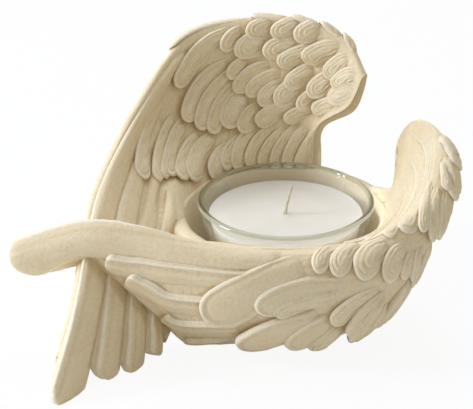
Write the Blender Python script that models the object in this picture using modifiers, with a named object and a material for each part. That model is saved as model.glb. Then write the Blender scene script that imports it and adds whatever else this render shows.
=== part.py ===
"""Tealight holder: a cast pair of wings cupped round a tapered glass cup with wax, wick and wick sustainer."""

import math

import bmesh
import bpy
import numpy as np

MM = 0.001

# Cup seat in the casting
WELL_FLOOR = 11.0
WELL_RECESS = 1.0
WELL_FLOOR_RADIUS = 32.6
WELL_LIP_RADIUS = 34.4
WELL_CENTRE_X = -1.0
WELL_LIP_Z = 34.5
FIT = 0.3

# Glass cup
CUP_RIM_RADIUS = 31.0
CUP_BASE_RADIUS = 24.0
CUP_RIM_Z = 40.0
CUP_WALL = 2.3
CUP_FLOOR = 2.6
CUP_SEGMENTS = 64
CUP_BASE_Z = WELL_FLOOR - WELL_RECESS + FIT

# Wax, wick and sustainer
WAX_TOP_Z = 34.3
WICK_RADIUS = 0.6
WICK_TOP_Z = 45.0
WICK_LEAN = (2.2, 0.4)
SUSTAINER_RADIUS = 7.5
SUSTAINER_DISC = 0.5
SUSTAINER_NECK = 2.4
SUSTAINER_NECK_WALL = 0.7

# Millimetres to one step of the wing and bowl tables
WING_UNIT = 1.0

# Feathers: depth of the root in the wing, height of the tip over it, and thickness; the hem is the lowest row
COVERT_SINK = 1.0
COVERT_RISE = 1.2
COVERT_THICK = 2.3
PRIMARY_SINK = 1.0
PRIMARY_RISE = 1.2
PRIMARY_THICK = 3.2
TUCKED_RISE = 0.4
TUCKED_THICK = 2.8
HEM_RISE = 1.1
HEM_THICK = 2.2
HEM_START = 2.6
FAN_RISE = 0.8
FAN_THICK = 4.2
RIB_SINK = 0.8
RIB_RISE = 0.2
RIB_THICK = 1.1
CREST_RISE = 0.9
CREST_THICK = 2.2

# Cutters
BASE_CUTTER_REACH = 150.0
BASE_CUTTER_DEPTH = 30.0
WELL_CUTTER_TOP = 75.0

# Casting mesh
VOXEL = 0.75
CAST_TRIANGLES = 10900

# Outer profile of the bowl under the wings: radius, height
BOWL = [(0, 0), (28, 0), (33.5, 7), (38, 18), (40.3, 28), (40.6, 32.5), (39.6, 34.6), (38, 35.2), (0, 35.2)]

# Back wing: each row goes from the leading edge down the inner face, under it and up the outer face
BACK_WING = [
    [(27.6, 30, 73), (23, 31, 61.8), (12.3, 36, 51.5), (10.6, 34.4, 36.3), (6, 20, -3), (11, 31, -3),
     (14.2, 42.5, 32), (14.8, 41.5, 48.5), (25.8, 35.5, 58.5), (29.6, 33, 72)],
    [(21, 38, 82.6), (15.6, 40, 65.8), (8.6, 39.5, 50.8), (2.3, 35.9, 34.6), (1, 20, -3), (3, 33, -3),
     (4, 46, 30), (9, 45.5, 50), (17, 45, 65), (22.6, 41, 81.8)],
    [(7, 43, 88), (2.2, 44, 69.7), (-5, 41.5, 51.9), (-9.6, 34.7, 34.2), (-5, 20, -3), (-6, 33, -3),
     (-9, 46, 28), (-4, 48.5, 51), (3, 49.5, 69), (7.5, 46, 87)],
    [(-13.9, 46, 87.6), (-17.5, 46, 69), (-20.5, 41, 52.1), (-20.2, 29.8, 34.2), (-11, 17, -3),
     (-17, 31, -3), (-25, 42, 27), (-24.5, 48, 51), (-20.5, 51.5, 68), (-14.8, 49, 86.6)],
    [(-35.6, 42, 81.5), (-36.3, 41, 64.2), (-33.6, 33.5, 48.6), (-28.2, 22.4, 34), (-17, 12, -3),
     (-26, 25, -3), (-36, 33, 26), (-40, 40, 48), (-41, 45.5, 63), (-37.5, 45, 80.8)],
    [(-51.8, 24, 64.2), (-48.3, 24, 53), (-43, 17, 42.9), (-34.9, 8.6, 34), (-20, 6, -3), (-33, 14, -3),
     (-43.5, 20, 22), (-50, 25, 40), (-53, 29, 51), (-54.2, 27, 63.2)],
    [(-63.4, -2, 48.6), (-55.8, -2, 42.3), (-47.1, -4.5, 37.1), (-35.3, -7.6, 33.4), (-21, -4, -1),
     (-36.5, -1, -1), (-46.5, 2, 20), (-53.5, 4, 31), (-60, 3.5, 37.5), (-65.6, 1, 46.6)],
    [(-67, -25, 41.2), (-58.7, -24, 35.3), (-50.9, -24, 29.7), (-41.8, -24, 22.3), (-36, -22, 14),
     (-38, -16, 6), (-45, -20, 16), (-54.5, -20.5, 23.5), (-62, -20.5, 30), (-69, -22, 38.8)],
    [(-69.5, -46, 26.6), (-61.8, -42, 22.3), (-53.1, -38, 17.5), (-43.3, -34, 12.3), (-39, -32.5, 9),
     (-40, -29.5, 5), (-46, -31, 8), (-55.5, -34, 13.5), (-64.4, -38, 17.6), (-71.2, -42.5, 24.2)],
    [(-74.5, -60.2, 11.9), (-64.2, -52, 9.4), (-53.7, -45, 7), (-44, -37, 5), (-41.5, -35.5, 3.5),
     (-42, -34, 1.5), (-47, -35, 2.5), (-56.5, -41.5, 4), (-66.8, -48.5, 6.3), (-75.6, -57, 9.6)],
]

# Front wing: each row goes from the ridge down the outer face to the ground, under it and up the inner face
FRONT_WING = [
    [(30, 21, 34), (32, 23, 33), (34.5, 24, 24), (31.5, 22, 12), (25, 18, -2), (18, 13, -3), (27, 19, 20),
     (28.5, 20, 31)],
    [(37.6, 3, 43.5), (40.5, 2.5, 42.5), (43, 1, 33), (38.5, 1, 17), (27, 1, -2), (20, 1, -3),
     (33, 2.5, 30), (35.5, 3.5, 38)],
    [(37.2, -7.5, 64.5), (41.5, -9, 65), (49, -10, 49), (43, -8, 26), (27, -8, -2), (20, -6, -3),
     (33.5, -4, 33), (38.5, -4, 50)],
    [(42, -13.5, 74), (47.5, -17.5, 74.5), (54, -20.5, 60), (45.5, -17.5, 33), (25, -14, -2), (19, -10, -3),
     (33, -10, 34.5), (39.5, -10.5, 53)],
    [(47.5, -22.5, 70.5), (53.5, -27.5, 68.5), (54.3, -30.5, 56), (43.5, -27, 33), (22, -18, -2),
     (18, -15, -3), (31, -18, 35.5), (40.5, -19.5, 51)],
    [(44.7, -32, 56.6), (48.5, -36, 53), (47.5, -37, 42), (38.5, -35, 24), (20, -22.5, -2), (15, -20, -3),
     (27, -25, 35.5), (36, -28, 45.5)],
    [(34.5, -41.3, 49), (38, -44.5, 44.5), (38, -45, 35), (31.5, -42, 19), (16, -26, -2), (12, -25, -3),
     (21, -31, 36), (27.5, -36, 42)],
    [(20, -45, 44), (24, -49, 39.5), (23.5, -50, 29), (20.5, -46.5, 14), (9, -28.5, -2), (8, -28, -3),
     (12, -36, 36.5), (16, -40.5, 41.5)],
    [(3, -46, 42.5), (4.5, -50, 38), (4, -51, 27), (3, -47, 12), (1, -30.5, -2), (1, -28, -3),
     (1, -37.5, 36.5), (2, -41.5, 41)],
    [(-16, -45, 42.5), (-17, -49, 38), (-17, -49.5, 27), (-17, -45.5, 12), (-16, -30, -2), (-11, -26, -3),
     (-13, -35, 36), (-14.5, -40, 40.5)],
    [(-36, -40.5, 44.5), (-37, -44, 40), (-37, -44.5, 29), (-36.5, -41, 13), (-33, -30.5, -2),
     (-24, -24, -3), (-28, -29, 34), (-32.5, -35, 40.5)],
    [(-50, -36.5, 47), (-50.5, -39.5, 42.5), (-50, -40.5, 34), (-48.5, -39.5, 24), (-46, -38, 16),
     (-43, -33.5, 14), (-45, -32, 26), (-48, -32.5, 42)],
    [(-66, -33, 46.5), (-66, -36, 43.5), (-66, -37, 38.5), (-65.5, -36.5, 34), (-65, -35, 31),
     (-64.5, -31.5, 31), (-65, -29.5, 36), (-65.5, -29.5, 44)],
    [(-80, -30.5, 42), (-80.5, -33, 39.5), (-81, -34, 35.5), (-81, -33.5, 31), (-80.5, -31.5, 27.5),
     (-80, -29, 28), (-80.5, -28, 33), (-80, -28, 39.5)],
    [(-91, -29.5, 36.5), (-92.3, -31, 34.8), (-93, -31.5, 32.5), (-92.3, -31.2, 30), (-91, -30, 28.5),
     (-90.5, -28.7, 29), (-91, -28, 31.5), (-90.8, -28.2, 35)],
]

# Feathers on the back wing's inner face: surface places of root, middle and tip, then width in mm
BACK_COVERTS = [
    (3.12, 0.12, 3.73, 0.41, 4.22, 0.77, 7.1), (2.97, 0.13, 3.20, 0.29, 3.26, 0.55, 5.3),
    (2.55, 0.37, 2.84, 0.49, 2.98, 0.71, 7.9), (2.49, -0.04, 2.74, 0.13, 2.88, 0.35, 7.0),
    (2.03, -0.22, 2.31, 0.14, 2.45, 0.37, 6.9), (1.60, -0.30, 1.86, 0.08, 2.04, 0.38, 6.9),
    (1.93, 0.38, 2.32, 0.53, 2.48, 0.74, 7.0), (1.53, 0.44, 1.99, 0.66, 2.22, 0.89, 5.7),
    (0.89, 0.03, 1.46, 0.43, 1.74, 0.72, 6.5), (0.57, 0.07, 0.92, 0.51, 1.01, 0.81, 6.2),
    (2.75, 0.81, 2.97, 0.88, 3.10, 1.12, 5.0), (2.29, 0.90, 2.71, 1.07, 2.89, 1.46, 5.3),
    (2.03, 1.04, 2.44, 1.20, 2.62, 1.56, 5.2), (1.96, 1.24, 2.21, 1.42, 2.26, 1.75, 5.7),
    (1.55, 1.14, 1.83, 1.37, 1.88, 1.72, 6.9), (1.36, 0.75, 1.74, 1.00, 1.85, 1.33, 5.6),
    (0.83, 0.75, 1.15, 1.02, 1.22, 1.37, 6.5), (1.07, 1.24, 1.33, 1.43, 1.34, 1.72, 4.9),
    (0.12, 0.10, 0.55, 0.59, 0.71, 0.90, 6.1), (-0.02, 0.51, 0.39, 0.87, 0.54, 1.25, 6.3),
    (0.27, 1.12, 0.66, 1.41, 0.86, 1.70, 4.8), (3.03, 0.74, 3.65, 1.07, 4.08, 1.66, 5.5),
    (2.90, 0.93, 3.40, 1.35, 3.76, 1.99, 5.4), (2.78, 1.17, 3.19, 1.60, 3.43, 2.20, 5.0),
    (2.55, 1.48, 2.84, 1.70, 3.01, 2.18, 7.8), (2.21, 1.73, 2.49, 1.95, 2.56, 2.32, 5.7),
    (1.39, 1.63, 1.93, 1.83, 2.24, 2.14, 5.7), (0.82, 1.55, 1.37, 1.77, 1.57, 2.02, 4.5),
    (3.92, 1.82, 4.48, 1.80, 4.99, 2.32, 4.3), (3.57, 2.13, 4.24, 2.18, 4.79, 2.64, 4.6),
    (3.14, 2.26, 3.88, 2.41, 4.50, 2.81, 6.0), (2.67, 2.56, 3.23, 2.70, 3.67, 2.98, 6.2),
    (2.44, 2.39, 2.85, 2.62, 3.11, 2.91, 5.2), (2.16, 2.09, 2.51, 2.51, 2.71, 2.94, 5.1),
    (1.74, 2.02, 2.09, 2.52, 2.27, 2.94, 4.6), (1.45, 2.03, 1.74, 2.57, 1.86, 2.96, 4.1),
    (1.21, 1.95, 1.43, 2.57, 1.47, 2.98, 4.1), (0.77, 1.96, 1.00, 2.57, 1.02, 2.99, 4.5),
    (-0.27, 2.02, 0.31, 2.67, 0.47, 3.00, 4.7), (4.40, 0.78, 5.00, 0.80, 5.61, 1.39, 5.8),
    (4.17, 1.36, 4.77, 1.43, 5.38, 1.93, 4.0), (4.00, 1.56, 4.61, 1.71, 5.18, 2.12, 3.5),
]

# Feathers on the front wing's outer face, in the same form
FRONT_COVERTS = [
    (7.84, 0.63, 8.73, 1.66, 9.48, 2.63, 15.0), (7.25, 1.54, 8.17, 1.73, 8.58, 2.33, 9.4),
    (7.28, 1.84, 8.00, 2.01, 8.36, 2.37, 6.5), (7.58, 2.45, 8.39, 2.88, 8.86, 3.35, 13.0),
    (7.37, 2.51, 7.81, 2.83, 8.07, 3.23, 9.7), (7.16, 2.77, 7.45, 3.03, 7.57, 3.40, 7.3),
    (6.48, 2.03, 7.10, 2.20, 7.42, 2.64, 6.1), (6.34, 2.27, 6.85, 2.39, 7.10, 2.95, 3.9),
    (6.30, 2.42, 6.70, 2.64, 6.92, 3.15, 4.8), (5.97, 2.78, 6.30, 3.00, 6.55, 3.45, 4.8),
    (5.25, 2.55, 5.60, 2.85, 5.95, 3.35, 7.0), (6.21, 0.47, 6.75, 0.67, 7.04, 1.48, 8.6),
    (5.87, 1.21, 6.30, 1.20, 6.46, 1.92, 6.7), (6.60, -0.30, 7.22, 0.36, 7.46, 1.26, 6.9),
    (6.95, -0.35, 7.53, 0.16, 7.76, 1.11, 5.5), (5.71, 1.40, 5.99, 1.70, 6.00, 2.16, 4.2),
    (5.45, 1.49, 5.69, 1.84, 5.50, 2.52, 4.3), (4.95, 1.95, 5.12, 2.35, 5.35, 2.75, 4.8),
    (4.57, 0.13, 5.11, 0.23, 5.58, 0.99, 3.4), (4.60, 0.54, 5.05, 0.82, 5.27, 1.69, 4.2),
    (4.50, 1.00, 4.64, 1.55, 4.78, 2.15, 4.8), (4.36, 1.40, 4.40, 1.90, 4.55, 2.35, 4.2),
    (4.27, 0.36, 4.43, 0.72, 4.55, 1.17, 3.1), (3.94, 0.68, 4.12, 1.34, 3.96, 2.09, 5.3),
    (3.38, 1.03, 3.70, 1.20, 3.63, 1.77, 4.8), (3.45, 0.75, 3.60, 1.10, 3.85, 1.45, 4.8),
]

# Long feathers: root, middle, tip, then width at the root and near the tip
BACK_PRIMARIES = [
    (3.9, 0.30, 7.0, 0.50, 9.90, 0.34, 9.0, 16.5),
    (4.6, 1.00, 7.2, 1.36, 9.70, 1.36, 8.0, 12.0),
    (5.0, 1.75, 7.4, 2.18, 9.85, 2.12, 6.0, 11.0),
    (5.2, 2.45, 7.6, 2.85, 9.70, 2.93, 5.5, 8.5),
]
FRONT_PRIMARIES = [
    (8.2, 0.35, 11.6, 1.05, 13.98, 2.10, 10.0, 15.5),
    (8.4, 1.35, 10.4, 1.75, 11.70, 2.60, 9.5, 9.0),
    (8.6, 2.20, 10.3, 2.55, 11.35, 3.00, 9.5, 9.0),
    (8.8, 2.85, 9.90, 3.05, 10.50, 3.25, 9.0, 7.0),
    (9.0, 3.40, 9.60, 3.50, 10.00, 3.55, 8.0, 6.0),
]

# Feathers along the back wing's top edge, in the same form
CREST_FEATHERS = [
    (0.50, 9.40, 0.85, 9.35, 1.20, 9.25, 5.0, 6.0), (1.05, 9.40, 1.40, 9.35, 1.75, 9.25, 5.0, 6.0),
    (1.60, 9.40, 1.95, 9.35, 2.30, 9.25, 5.0, 6.0), (2.15, 9.40, 2.55, 9.35, 2.90, 9.25, 5.0, 6.0),
    (2.75, 9.35, 3.50, 9.22, 4.20, 9.10, 6.0, 7.0),
]

# Rows down the outer face of the back wing: v, width, length in u, count
BACK_REAR_ROWS = [(8.75, 8.0, 0.95, 9), (8.1, 9.0, 1.05, 8), (7.35, 9.5, 1.15, 7), (6.7, 9.0, 1.1, 6)]
BACK_REAR_LONG = [(8.55, 12.0), (7.7, 12.0), (6.9, 10.0)]

# Rows down the outer face of the front wing's shoulder: v, width, count, then the ribs up its inner face: v, start
SHOULDER_ROWS = [(1.9, 7.5, 5), (2.6, 8.0, 6), (3.3, 8.0, 7)]
INNER_RIBS = [(6.35, 2.6), (6.8, 2.1), (7.25, 1.9), (7.65, 2.0)]


def clear_scene():
    """Removes every object the file starts with."""
    for obj in list(bpy.data.objects):
        bpy.data.objects.remove(obj)


def collection(name, hidden=False):
    """A new collection in the scene, out of renders when it holds cutters."""
    made = bpy.data.collections.new(name)
    bpy.context.scene.collection.children.link(made)
    made.hide_render = hidden
    return made


def material(name, colour, roughness, transmission=0.0):
    """A Principled material of one colour."""
    made = bpy.data.materials.new(name)
    made.use_nodes = True
    shader = made.node_tree.nodes["Principled BSDF"]
    shader.inputs["Base Color"].default_value = (*colour, 1.0)
    shader.inputs["Roughness"].default_value = roughness
    shader.inputs["Transmission Weight"].default_value = transmission
    made.diffuse_color = (*colour, 1.0)
    return made


def weights(count, places):
    """Catmull-Rom weights of an open row of control points at each place, straight past both ends."""
    flat = np.asarray(places, float).ravel()
    inside = np.clip(flat, 0, count - 1)
    cell = np.clip(np.floor(inside).astype(int), 0, count - 2)
    f = inside - cell
    value = [(-f**3 + 2 * f**2 - f) / 2, (3 * f**3 - 5 * f**2 + 2) / 2, (-3 * f**3 + 4 * f**2 + f) / 2, (f**3 - f**2) / 2]
    slope = [(-3 * f**2 + 4 * f - 1) / 2, (9 * f**2 - 10 * f) / 2, (-9 * f**2 + 8 * f + 1) / 2, (3 * f**2 - 2 * f) / 2]
    table = np.zeros((flat.size, count + 2))
    rows = np.arange(flat.size)
    for k in range(4):
        np.add.at(table, (rows, cell + k), value[k] + slope[k] * (flat - inside))
    open_ended = table[:, 1:-1].copy()
    open_ended[:, 0] += 2 * table[:, 0]
    open_ended[:, 1] -= table[:, 0]
    open_ended[:, -1] += 2 * table[:, -1]
    open_ended[:, -2] -= table[:, -1]
    return open_ended


def closed_weights(count, places):
    """Catmull-Rom weights of a closed ring of control points at each place."""
    flat = np.asarray(places, float).ravel()
    cell = np.floor(flat).astype(int)
    f = flat - cell
    value = [(-f**3 + 2 * f**2 - f) / 2, (3 * f**3 - 5 * f**2 + 2) / 2, (-3 * f**3 + 4 * f**2 + f) / 2, (f**3 - f**2) / 2]
    table = np.zeros((flat.size, count))
    for k in range(4):
        np.add.at(table, (np.arange(flat.size), (cell + k - 1) % count), value[k])
    return table


def on_wing(net, u, v):
    """The points of a wing surface: u counts sections, v runs round each section."""
    along = weights(net.shape[0], u)
    round_it = closed_weights(net.shape[1], v)
    return np.einsum("pi,pj,ijk->pk", along, round_it, net).reshape(np.shape(u) + (3,))


def wing_frame(net, u, v):
    """Point, both surface slopes and the outward normal at each place."""
    step = 0.01
    here = on_wing(net, u, v)
    du = (on_wing(net, u + step, v) - on_wing(net, u - step, v)) / (2 * step)
    dv = (on_wing(net, u, v + step) - on_wing(net, u, v - step)) / (2 * step)
    normal = np.cross(du, dv)
    return here, du, dv, normal / np.linalg.norm(normal, axis=-1, keepdims=True)


def loft(net, per_section, per_side):
    """The closed skin of a wing: a grid over the net with both end sections filled straight across."""
    us = np.linspace(0, net.shape[0] - 1, (net.shape[0] - 1) * per_section + 1)
    vs = np.arange(net.shape[1] * per_side) / per_side
    u, v = np.meshgrid(us, vs, indexing="ij")
    return capped_grid(on_wing(net, u, v), strip_caps=True)


def capped_grid(grid, strip_caps=False):
    """Points and faces of a closed tube: rings along the first axis, the ends filled from their middle or straight across."""
    rings, around, _ = grid.shape
    points = grid.reshape(-1, 3)
    faces = []
    for i in range(rings - 1):
        for j in range(around):
            k = (j + 1) % around
            faces.append((i * around + j, (i + 1) * around + j, (i + 1) * around + k, i * around + k))
    last_ring = (rings - 1) * around
    if strip_caps:
        start = [(around - 1 + j) % around for j in range(around)]
        faces += [tuple(face) for face in strip(start)]
        faces += [tuple(last_ring + index for index in reversed(face)) for face in strip(start)]
        return points, faces
    points = np.concatenate([points, [grid[0].mean(0), grid[-1].mean(0)]])
    first, last = rings * around, rings * around + 1
    for j in range(around):
        k = (j + 1) % around
        faces.append((first, j, k))
        faces.append((last, last_ring + k, last_ring + j))
    return points, faces


def strip(ring):
    """Faces straight across a ring, from one side to the other."""
    faces, low, high = [], 0, len(ring) - 1
    while high - low >= 3:
        faces.append((ring[low], ring[low + 1], ring[high - 1], ring[high]))
        low, high = low + 1, high - 1
    if high - low == 2:
        faces.append((ring[low], ring[low + 1], ring[high]))
    return faces


def feather(net, path, widths, lift, roll=0.0, bevel=0.0, rings=14, around=10):
    """One feather: a flat rounded blade along a curve on the wing, sunk at its root and raised at its tip.
    A negative roll raises its left edge, and the bevel slopes that side down again."""
    width_root, width_tip = widths
    sink, rise, thick = lift
    a = np.sin(np.linspace(0, math.pi / 2, rings)) * 0.995
    p0, p1, p2 = (np.array(path[i:i + 2]) for i in (0, 2, 4))
    bend = 2 * p1 - 0.5 * (p0 + p2)
    centre = ((1 - a) ** 2)[:, None] * p0 + (2 * a * (1 - a))[:, None] * bend + (a**2)[:, None] * p2
    turn = np.arange(around) * 2 * math.pi / around
    across = np.sign(np.cos(turn)) * np.abs(np.cos(turn)) ** 0.8
    upward = np.sign(np.sin(turn)) * np.abs(np.sin(turn)) ** 0.6
    here, du, dv, normal = wing_frame(net, centre[:, 0], centre[:, 1])
    direction = np.gradient(here, axis=0)
    direction /= np.linalg.norm(direction, axis=1, keepdims=True)
    side = np.cross(normal, direction)
    metric = np.stack([du, dv], -1)
    step = np.einsum("pij,pj->pi", np.linalg.pinv(metric), side)
    length = np.linalg.norm(np.diff(here, axis=0), axis=1).sum()
    end = min(0.6, 0.6 * width_tip / length)
    rounding = np.sqrt(np.clip(1 - np.clip((a - 1 + end) / end, 0, 1) ** 2, 0, 1))
    start = 0.75 + 0.25 * np.clip(a / 0.3, 0, 1)
    half = 0.5 * (width_root + (width_tip - width_root) * a) * rounding * start
    place = centre[:, None, :] + (half[:, None] * across)[..., None] * step[:, None, :]
    place[..., 0] = np.maximum(place[..., 0], 0.1)
    skin, _, _, up = wing_frame(net, place[..., 0], place[..., 1])
    share = (half / half.max())[:, None]
    height = (-sink + (sink + rise) * a)[:, None] + roll * across * share
    height = height - bevel * np.clip((-across - 0.35) / 0.65, 0, 1) ** 1.5 * share
    height = height + (0.5 * thick * (0.35 + 0.65 * rounding))[:, None] * upward
    near_end = np.clip(place[..., 0] / 0.45, 0, 1)
    height = height * (0.15 + 0.85 * near_end * near_end * (3 - 2 * near_end))
    return capped_grid(skin + up * height[..., None])


def all_feathers():
    """Every feather of both wings as points and faces."""
    back, front = WING_UNIT * np.array(BACK_WING, float), WING_UNIT * np.array(FRONT_WING, float)
    covert = (COVERT_SINK, COVERT_RISE, COVERT_THICK)
    primary = (PRIMARY_SINK, PRIMARY_RISE, PRIMARY_THICK)
    made = []

    def lay(net, path, root, tip, lift, **more):
        made.append(feather(net, path, (WING_UNIT * root, WING_UNIT * tip), lift, **more))

    for row in BACK_PRIMARIES:
        lay(back, row[:6], row[6], row[7], (PRIMARY_SINK, FAN_RISE, FAN_THICK), roll=-1.5, bevel=2.4, rings=22, around=12)
    for row in BACK_COVERTS:
        lay(back, row[:6], 1.1 * row[6], 1.35 * row[6], covert, roll=-0.6)
    for k, row in enumerate(FRONT_PRIMARIES):
        lift = primary if k == 0 else (PRIMARY_SINK, TUCKED_RISE, TUCKED_THICK)
        lay(front, row[:6], row[6], row[7], lift, roll=-0.5, rings=22)
    for row in FRONT_COVERTS:
        low = min(1.0, max(0.0, (row[5] - HEM_START) / 0.6))
        lift = (COVERT_SINK, COVERT_RISE + HEM_RISE * low, COVERT_THICK + HEM_THICK * low)
        lay(front, row[:6], 0.9 * row[6], 1.15 * row[6], lift, roll=-0.2)
    for row in CREST_FEATHERS:
        lay(back, row[:6], row[6], row[7], (COVERT_SINK, CREST_RISE, CREST_THICK), rings=12)
    for v, width, length, count in BACK_REAR_ROWS:
        for k in range(count):
            u = 0.15 + k * 0.56 + 0.2 * (9 - v)
            path = (u, v, u + 0.5 * length, v - 0.14, u + length, v - 0.38)
            lay(back, path, 0.7 * width, width, covert)
    for v, width in BACK_REAR_LONG:
        lay(back, (5.0, v, 7.2, v, 9.4, v), 0.7 * width, width, primary, rings=22)
    for v, width, count in SHOULDER_ROWS:
        for k in range(count):
            u = 0.25 + k * 0.62 + 0.15 * v
            lay(front, (u, v, u + 0.4, v + 0.2, u + 0.7, v + 0.5), 0.7 * width, width, covert)
    for v, start in INNER_RIBS:
        lay(front, (start, v + 0.1, start + 1.9, v, start + 3.9, v - 0.15), 4.0, 5.0, (RIB_SINK, RIB_RISE, RIB_THICK),
            rings=18)
    return made


def mesh_from(name, pieces):
    """One mesh from several closed skins given in millimetres."""
    points, faces, offset = [], [], 0
    for piece_points, piece_faces in pieces:
        points.append(piece_points * MM)
        faces += [tuple(index + offset for index in face) for face in piece_faces]
        offset += len(piece_points)
    made = bpy.data.meshes.new(name)
    made.from_pydata(np.concatenate(points).tolist(), [], faces)
    made.update()
    return made


def revolve(profile, segments):
    """A closed skin from a profile of radius and height that starts and ends on the axis."""
    ring = np.arange(segments) * 2 * math.pi / segments
    body = [(r, z) for r, z in profile if r > 0]
    grid = np.array([[(r * math.cos(t), r * math.sin(t), z) for t in ring] for r, z in body])
    points, faces = capped_grid(grid)
    points[-2] = (0, 0, profile[0][1])
    points[-1] = (0, 0, profile[-1][1])
    return points, faces


def outward(obj):
    """Turns all faces of an object outwards."""
    work = bmesh.new()
    work.from_mesh(obj.data)
    bmesh.ops.recalc_face_normals(work, faces=work.faces)
    work.to_mesh(obj.data)
    work.free()


def add(name, mesh, home, look):
    """A named object of a mesh, in its collection and with its material."""
    made = bpy.data.objects.new(name, mesh)
    home.objects.link(made)
    if look is not None:
        made.data.materials.append(look)
    outward(made)
    return made


def solid(name, profile, home, look, segments=CUP_SEGMENTS):
    """A revolved object whose profile starts and ends on the axis."""
    return add(name, mesh_from(name, [revolve(profile, segments)]), home, look)


def ring_solid(name, profile, home, look, segments=CUP_SEGMENTS):
    """A revolved object whose closed profile stays off the axis."""
    ring = np.arange(segments) * 2 * math.pi / segments
    count = len(profile)
    points = np.array([(r * math.cos(t), r * math.sin(t), z) for t in ring for r, z in profile])
    faces = []
    for i in range(segments):
        j = (i + 1) % segments
        for k in range(count):
            m = (k + 1) % count
            faces.append((i * count + k, j * count + k, j * count + m, i * count + m))
    return add(name, mesh_from(name, [(points, faces)]), home, look)


def cut(obj, cutter):
    """Cuts one object out of another with an exact Boolean that stays live."""
    made = obj.modifiers.new(cutter.name, "BOOLEAN")
    made.operation = "DIFFERENCE"
    made.solver = "EXACT"
    made.object = cutter


def settled(obj, name):
    """A fresh mesh of the object as its modifiers leave it."""
    graph = bpy.context.evaluated_depsgraph_get()
    made = bpy.data.meshes.new_from_object(obj.evaluated_get(graph))
    made.name = name
    return made


def casting(home, cutters, look):
    """The wings and bowl as one solid: joined skins, one remesh, thinned, then cut flat below and hollowed for the cup."""
    bowl = [(WING_UNIT * r, WING_UNIT * z) for r, z in BOWL]
    skins = [loft(WING_UNIT * np.array(net, float), 5, 3) for net in (BACK_WING, FRONT_WING)] + [revolve(bowl, 72)]
    draft = add("wings_draft", mesh_from("wings_draft", skins + all_feathers()), home, None)
    remesh = draft.modifiers.new("One skin", "REMESH")
    remesh.mode = "VOXEL"
    remesh.voxel_size = VOXEL * MM
    whole = settled(draft, "wings")
    bpy.data.objects.remove(draft)
    made = bpy.data.objects.new("wings", whole)
    home.objects.link(made)
    whole.materials.clear()
    whole.materials.append(look)
    count = sum(len(face.vertices) - 2 for face in whole.polygons)
    thin = made.modifiers.new("Thinned", "DECIMATE")
    thin.ratio = CAST_TRIANGLES / count
    fewer = settled(made, "wings")
    made.modifiers.clear()
    made.data = fewer
    under = solid("base_cutter", [
        (0, -BASE_CUTTER_DEPTH), (BASE_CUTTER_REACH, -BASE_CUTTER_DEPTH), (BASE_CUTTER_REACH, 0), (0, 0)],
        cutters, None, 8)
    draft_slope = (WELL_LIP_RADIUS - WELL_FLOOR_RADIUS) / (WELL_LIP_Z - WELL_FLOOR)
    well = solid("well_cutter", [
        (0, WELL_FLOOR), (WELL_FLOOR_RADIUS, WELL_FLOOR),
        (WELL_FLOOR_RADIUS + draft_slope * (WELL_CUTTER_TOP - WELL_FLOOR), WELL_CUTTER_TOP), (0, WELL_CUTTER_TOP)],
        cutters, None, 64)
    recess_radius = CUP_BASE_RADIUS + FIT
    recess_floor = WELL_FLOOR - WELL_RECESS
    recess = solid("recess_cutter", [
        (0, recess_floor), (recess_radius, recess_floor), (recess_radius, WELL_FLOOR + 5), (0, WELL_FLOOR + 5)],
        cutters, None, 64)
    well.location.x = WELL_CENTRE_X * MM
    for cutter in (under, well, recess):
        cutter.display_type = "WIRE"
        cutter.hide_render = True
        cut(made, cutter)
    return made


def cup_outside(z):
    """Outer radius of the glass cup at a height."""
    return CUP_BASE_RADIUS + (CUP_RIM_RADIUS - CUP_BASE_RADIUS) * (z - CUP_BASE_Z) / (CUP_RIM_Z - CUP_BASE_Z)


def cup(home, look):
    """The tapered glass cup with a rounded foot and rim."""
    inside_z = CUP_BASE_Z + CUP_FLOOR
    rim_middle = CUP_RIM_RADIUS - CUP_WALL / 2
    profile = [(0, CUP_BASE_Z), (CUP_BASE_RADIUS - 1.6, CUP_BASE_Z), (CUP_BASE_RADIUS - 0.4, CUP_BASE_Z + 0.5),
               (cup_outside(CUP_BASE_Z + 1.8), CUP_BASE_Z + 1.8)]
    for k in range(7):
        turn = math.pi * k / 6
        profile.append((rim_middle + CUP_WALL / 2 * math.cos(turn), CUP_RIM_Z - CUP_WALL / 2 * (1 - math.sin(turn))))
    profile += [(cup_outside(inside_z + 1.5) - CUP_WALL, inside_z + 1.5), (CUP_BASE_RADIUS - CUP_WALL - 1.2, inside_z),
                (0, inside_z)]
    return solid("glass_cup", profile, home, look)


def wax(home, look):
    """The wax filling: it follows the cup's inside and leaves a bore for the wick and a pocket for its sustainer."""
    bottom = CUP_BASE_Z + CUP_FLOOR + FIT
    bore = WICK_RADIUS + FIT
    pocket_radius = SUSTAINER_RADIUS + FIT
    pocket_top = bottom + SUSTAINER_DISC + FIT
    neck_radius = WICK_RADIUS + FIT + SUSTAINER_NECK_WALL + FIT
    neck_top = bottom + SUSTAINER_NECK + FIT
    inner = [cup_outside(z) - CUP_WALL - 1.04 * FIT for z in (bottom + 1.9, WAX_TOP_Z - 0.6)]
    profile = [
        (pocket_radius, bottom), (CUP_BASE_RADIUS - CUP_WALL - 1.8, bottom), (inner[0], bottom + 1.9),
        (inner[1], WAX_TOP_Z - 0.6), (inner[1] - 1.2, WAX_TOP_Z - 0.05), (6.0, WAX_TOP_Z - 0.2), (bore, WAX_TOP_Z + 0.2),
        (bore, neck_top), (neck_radius, neck_top), (neck_radius, pocket_top), (pocket_radius, pocket_top)]
    return ring_solid("candle_wax", profile, home, look)


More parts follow.
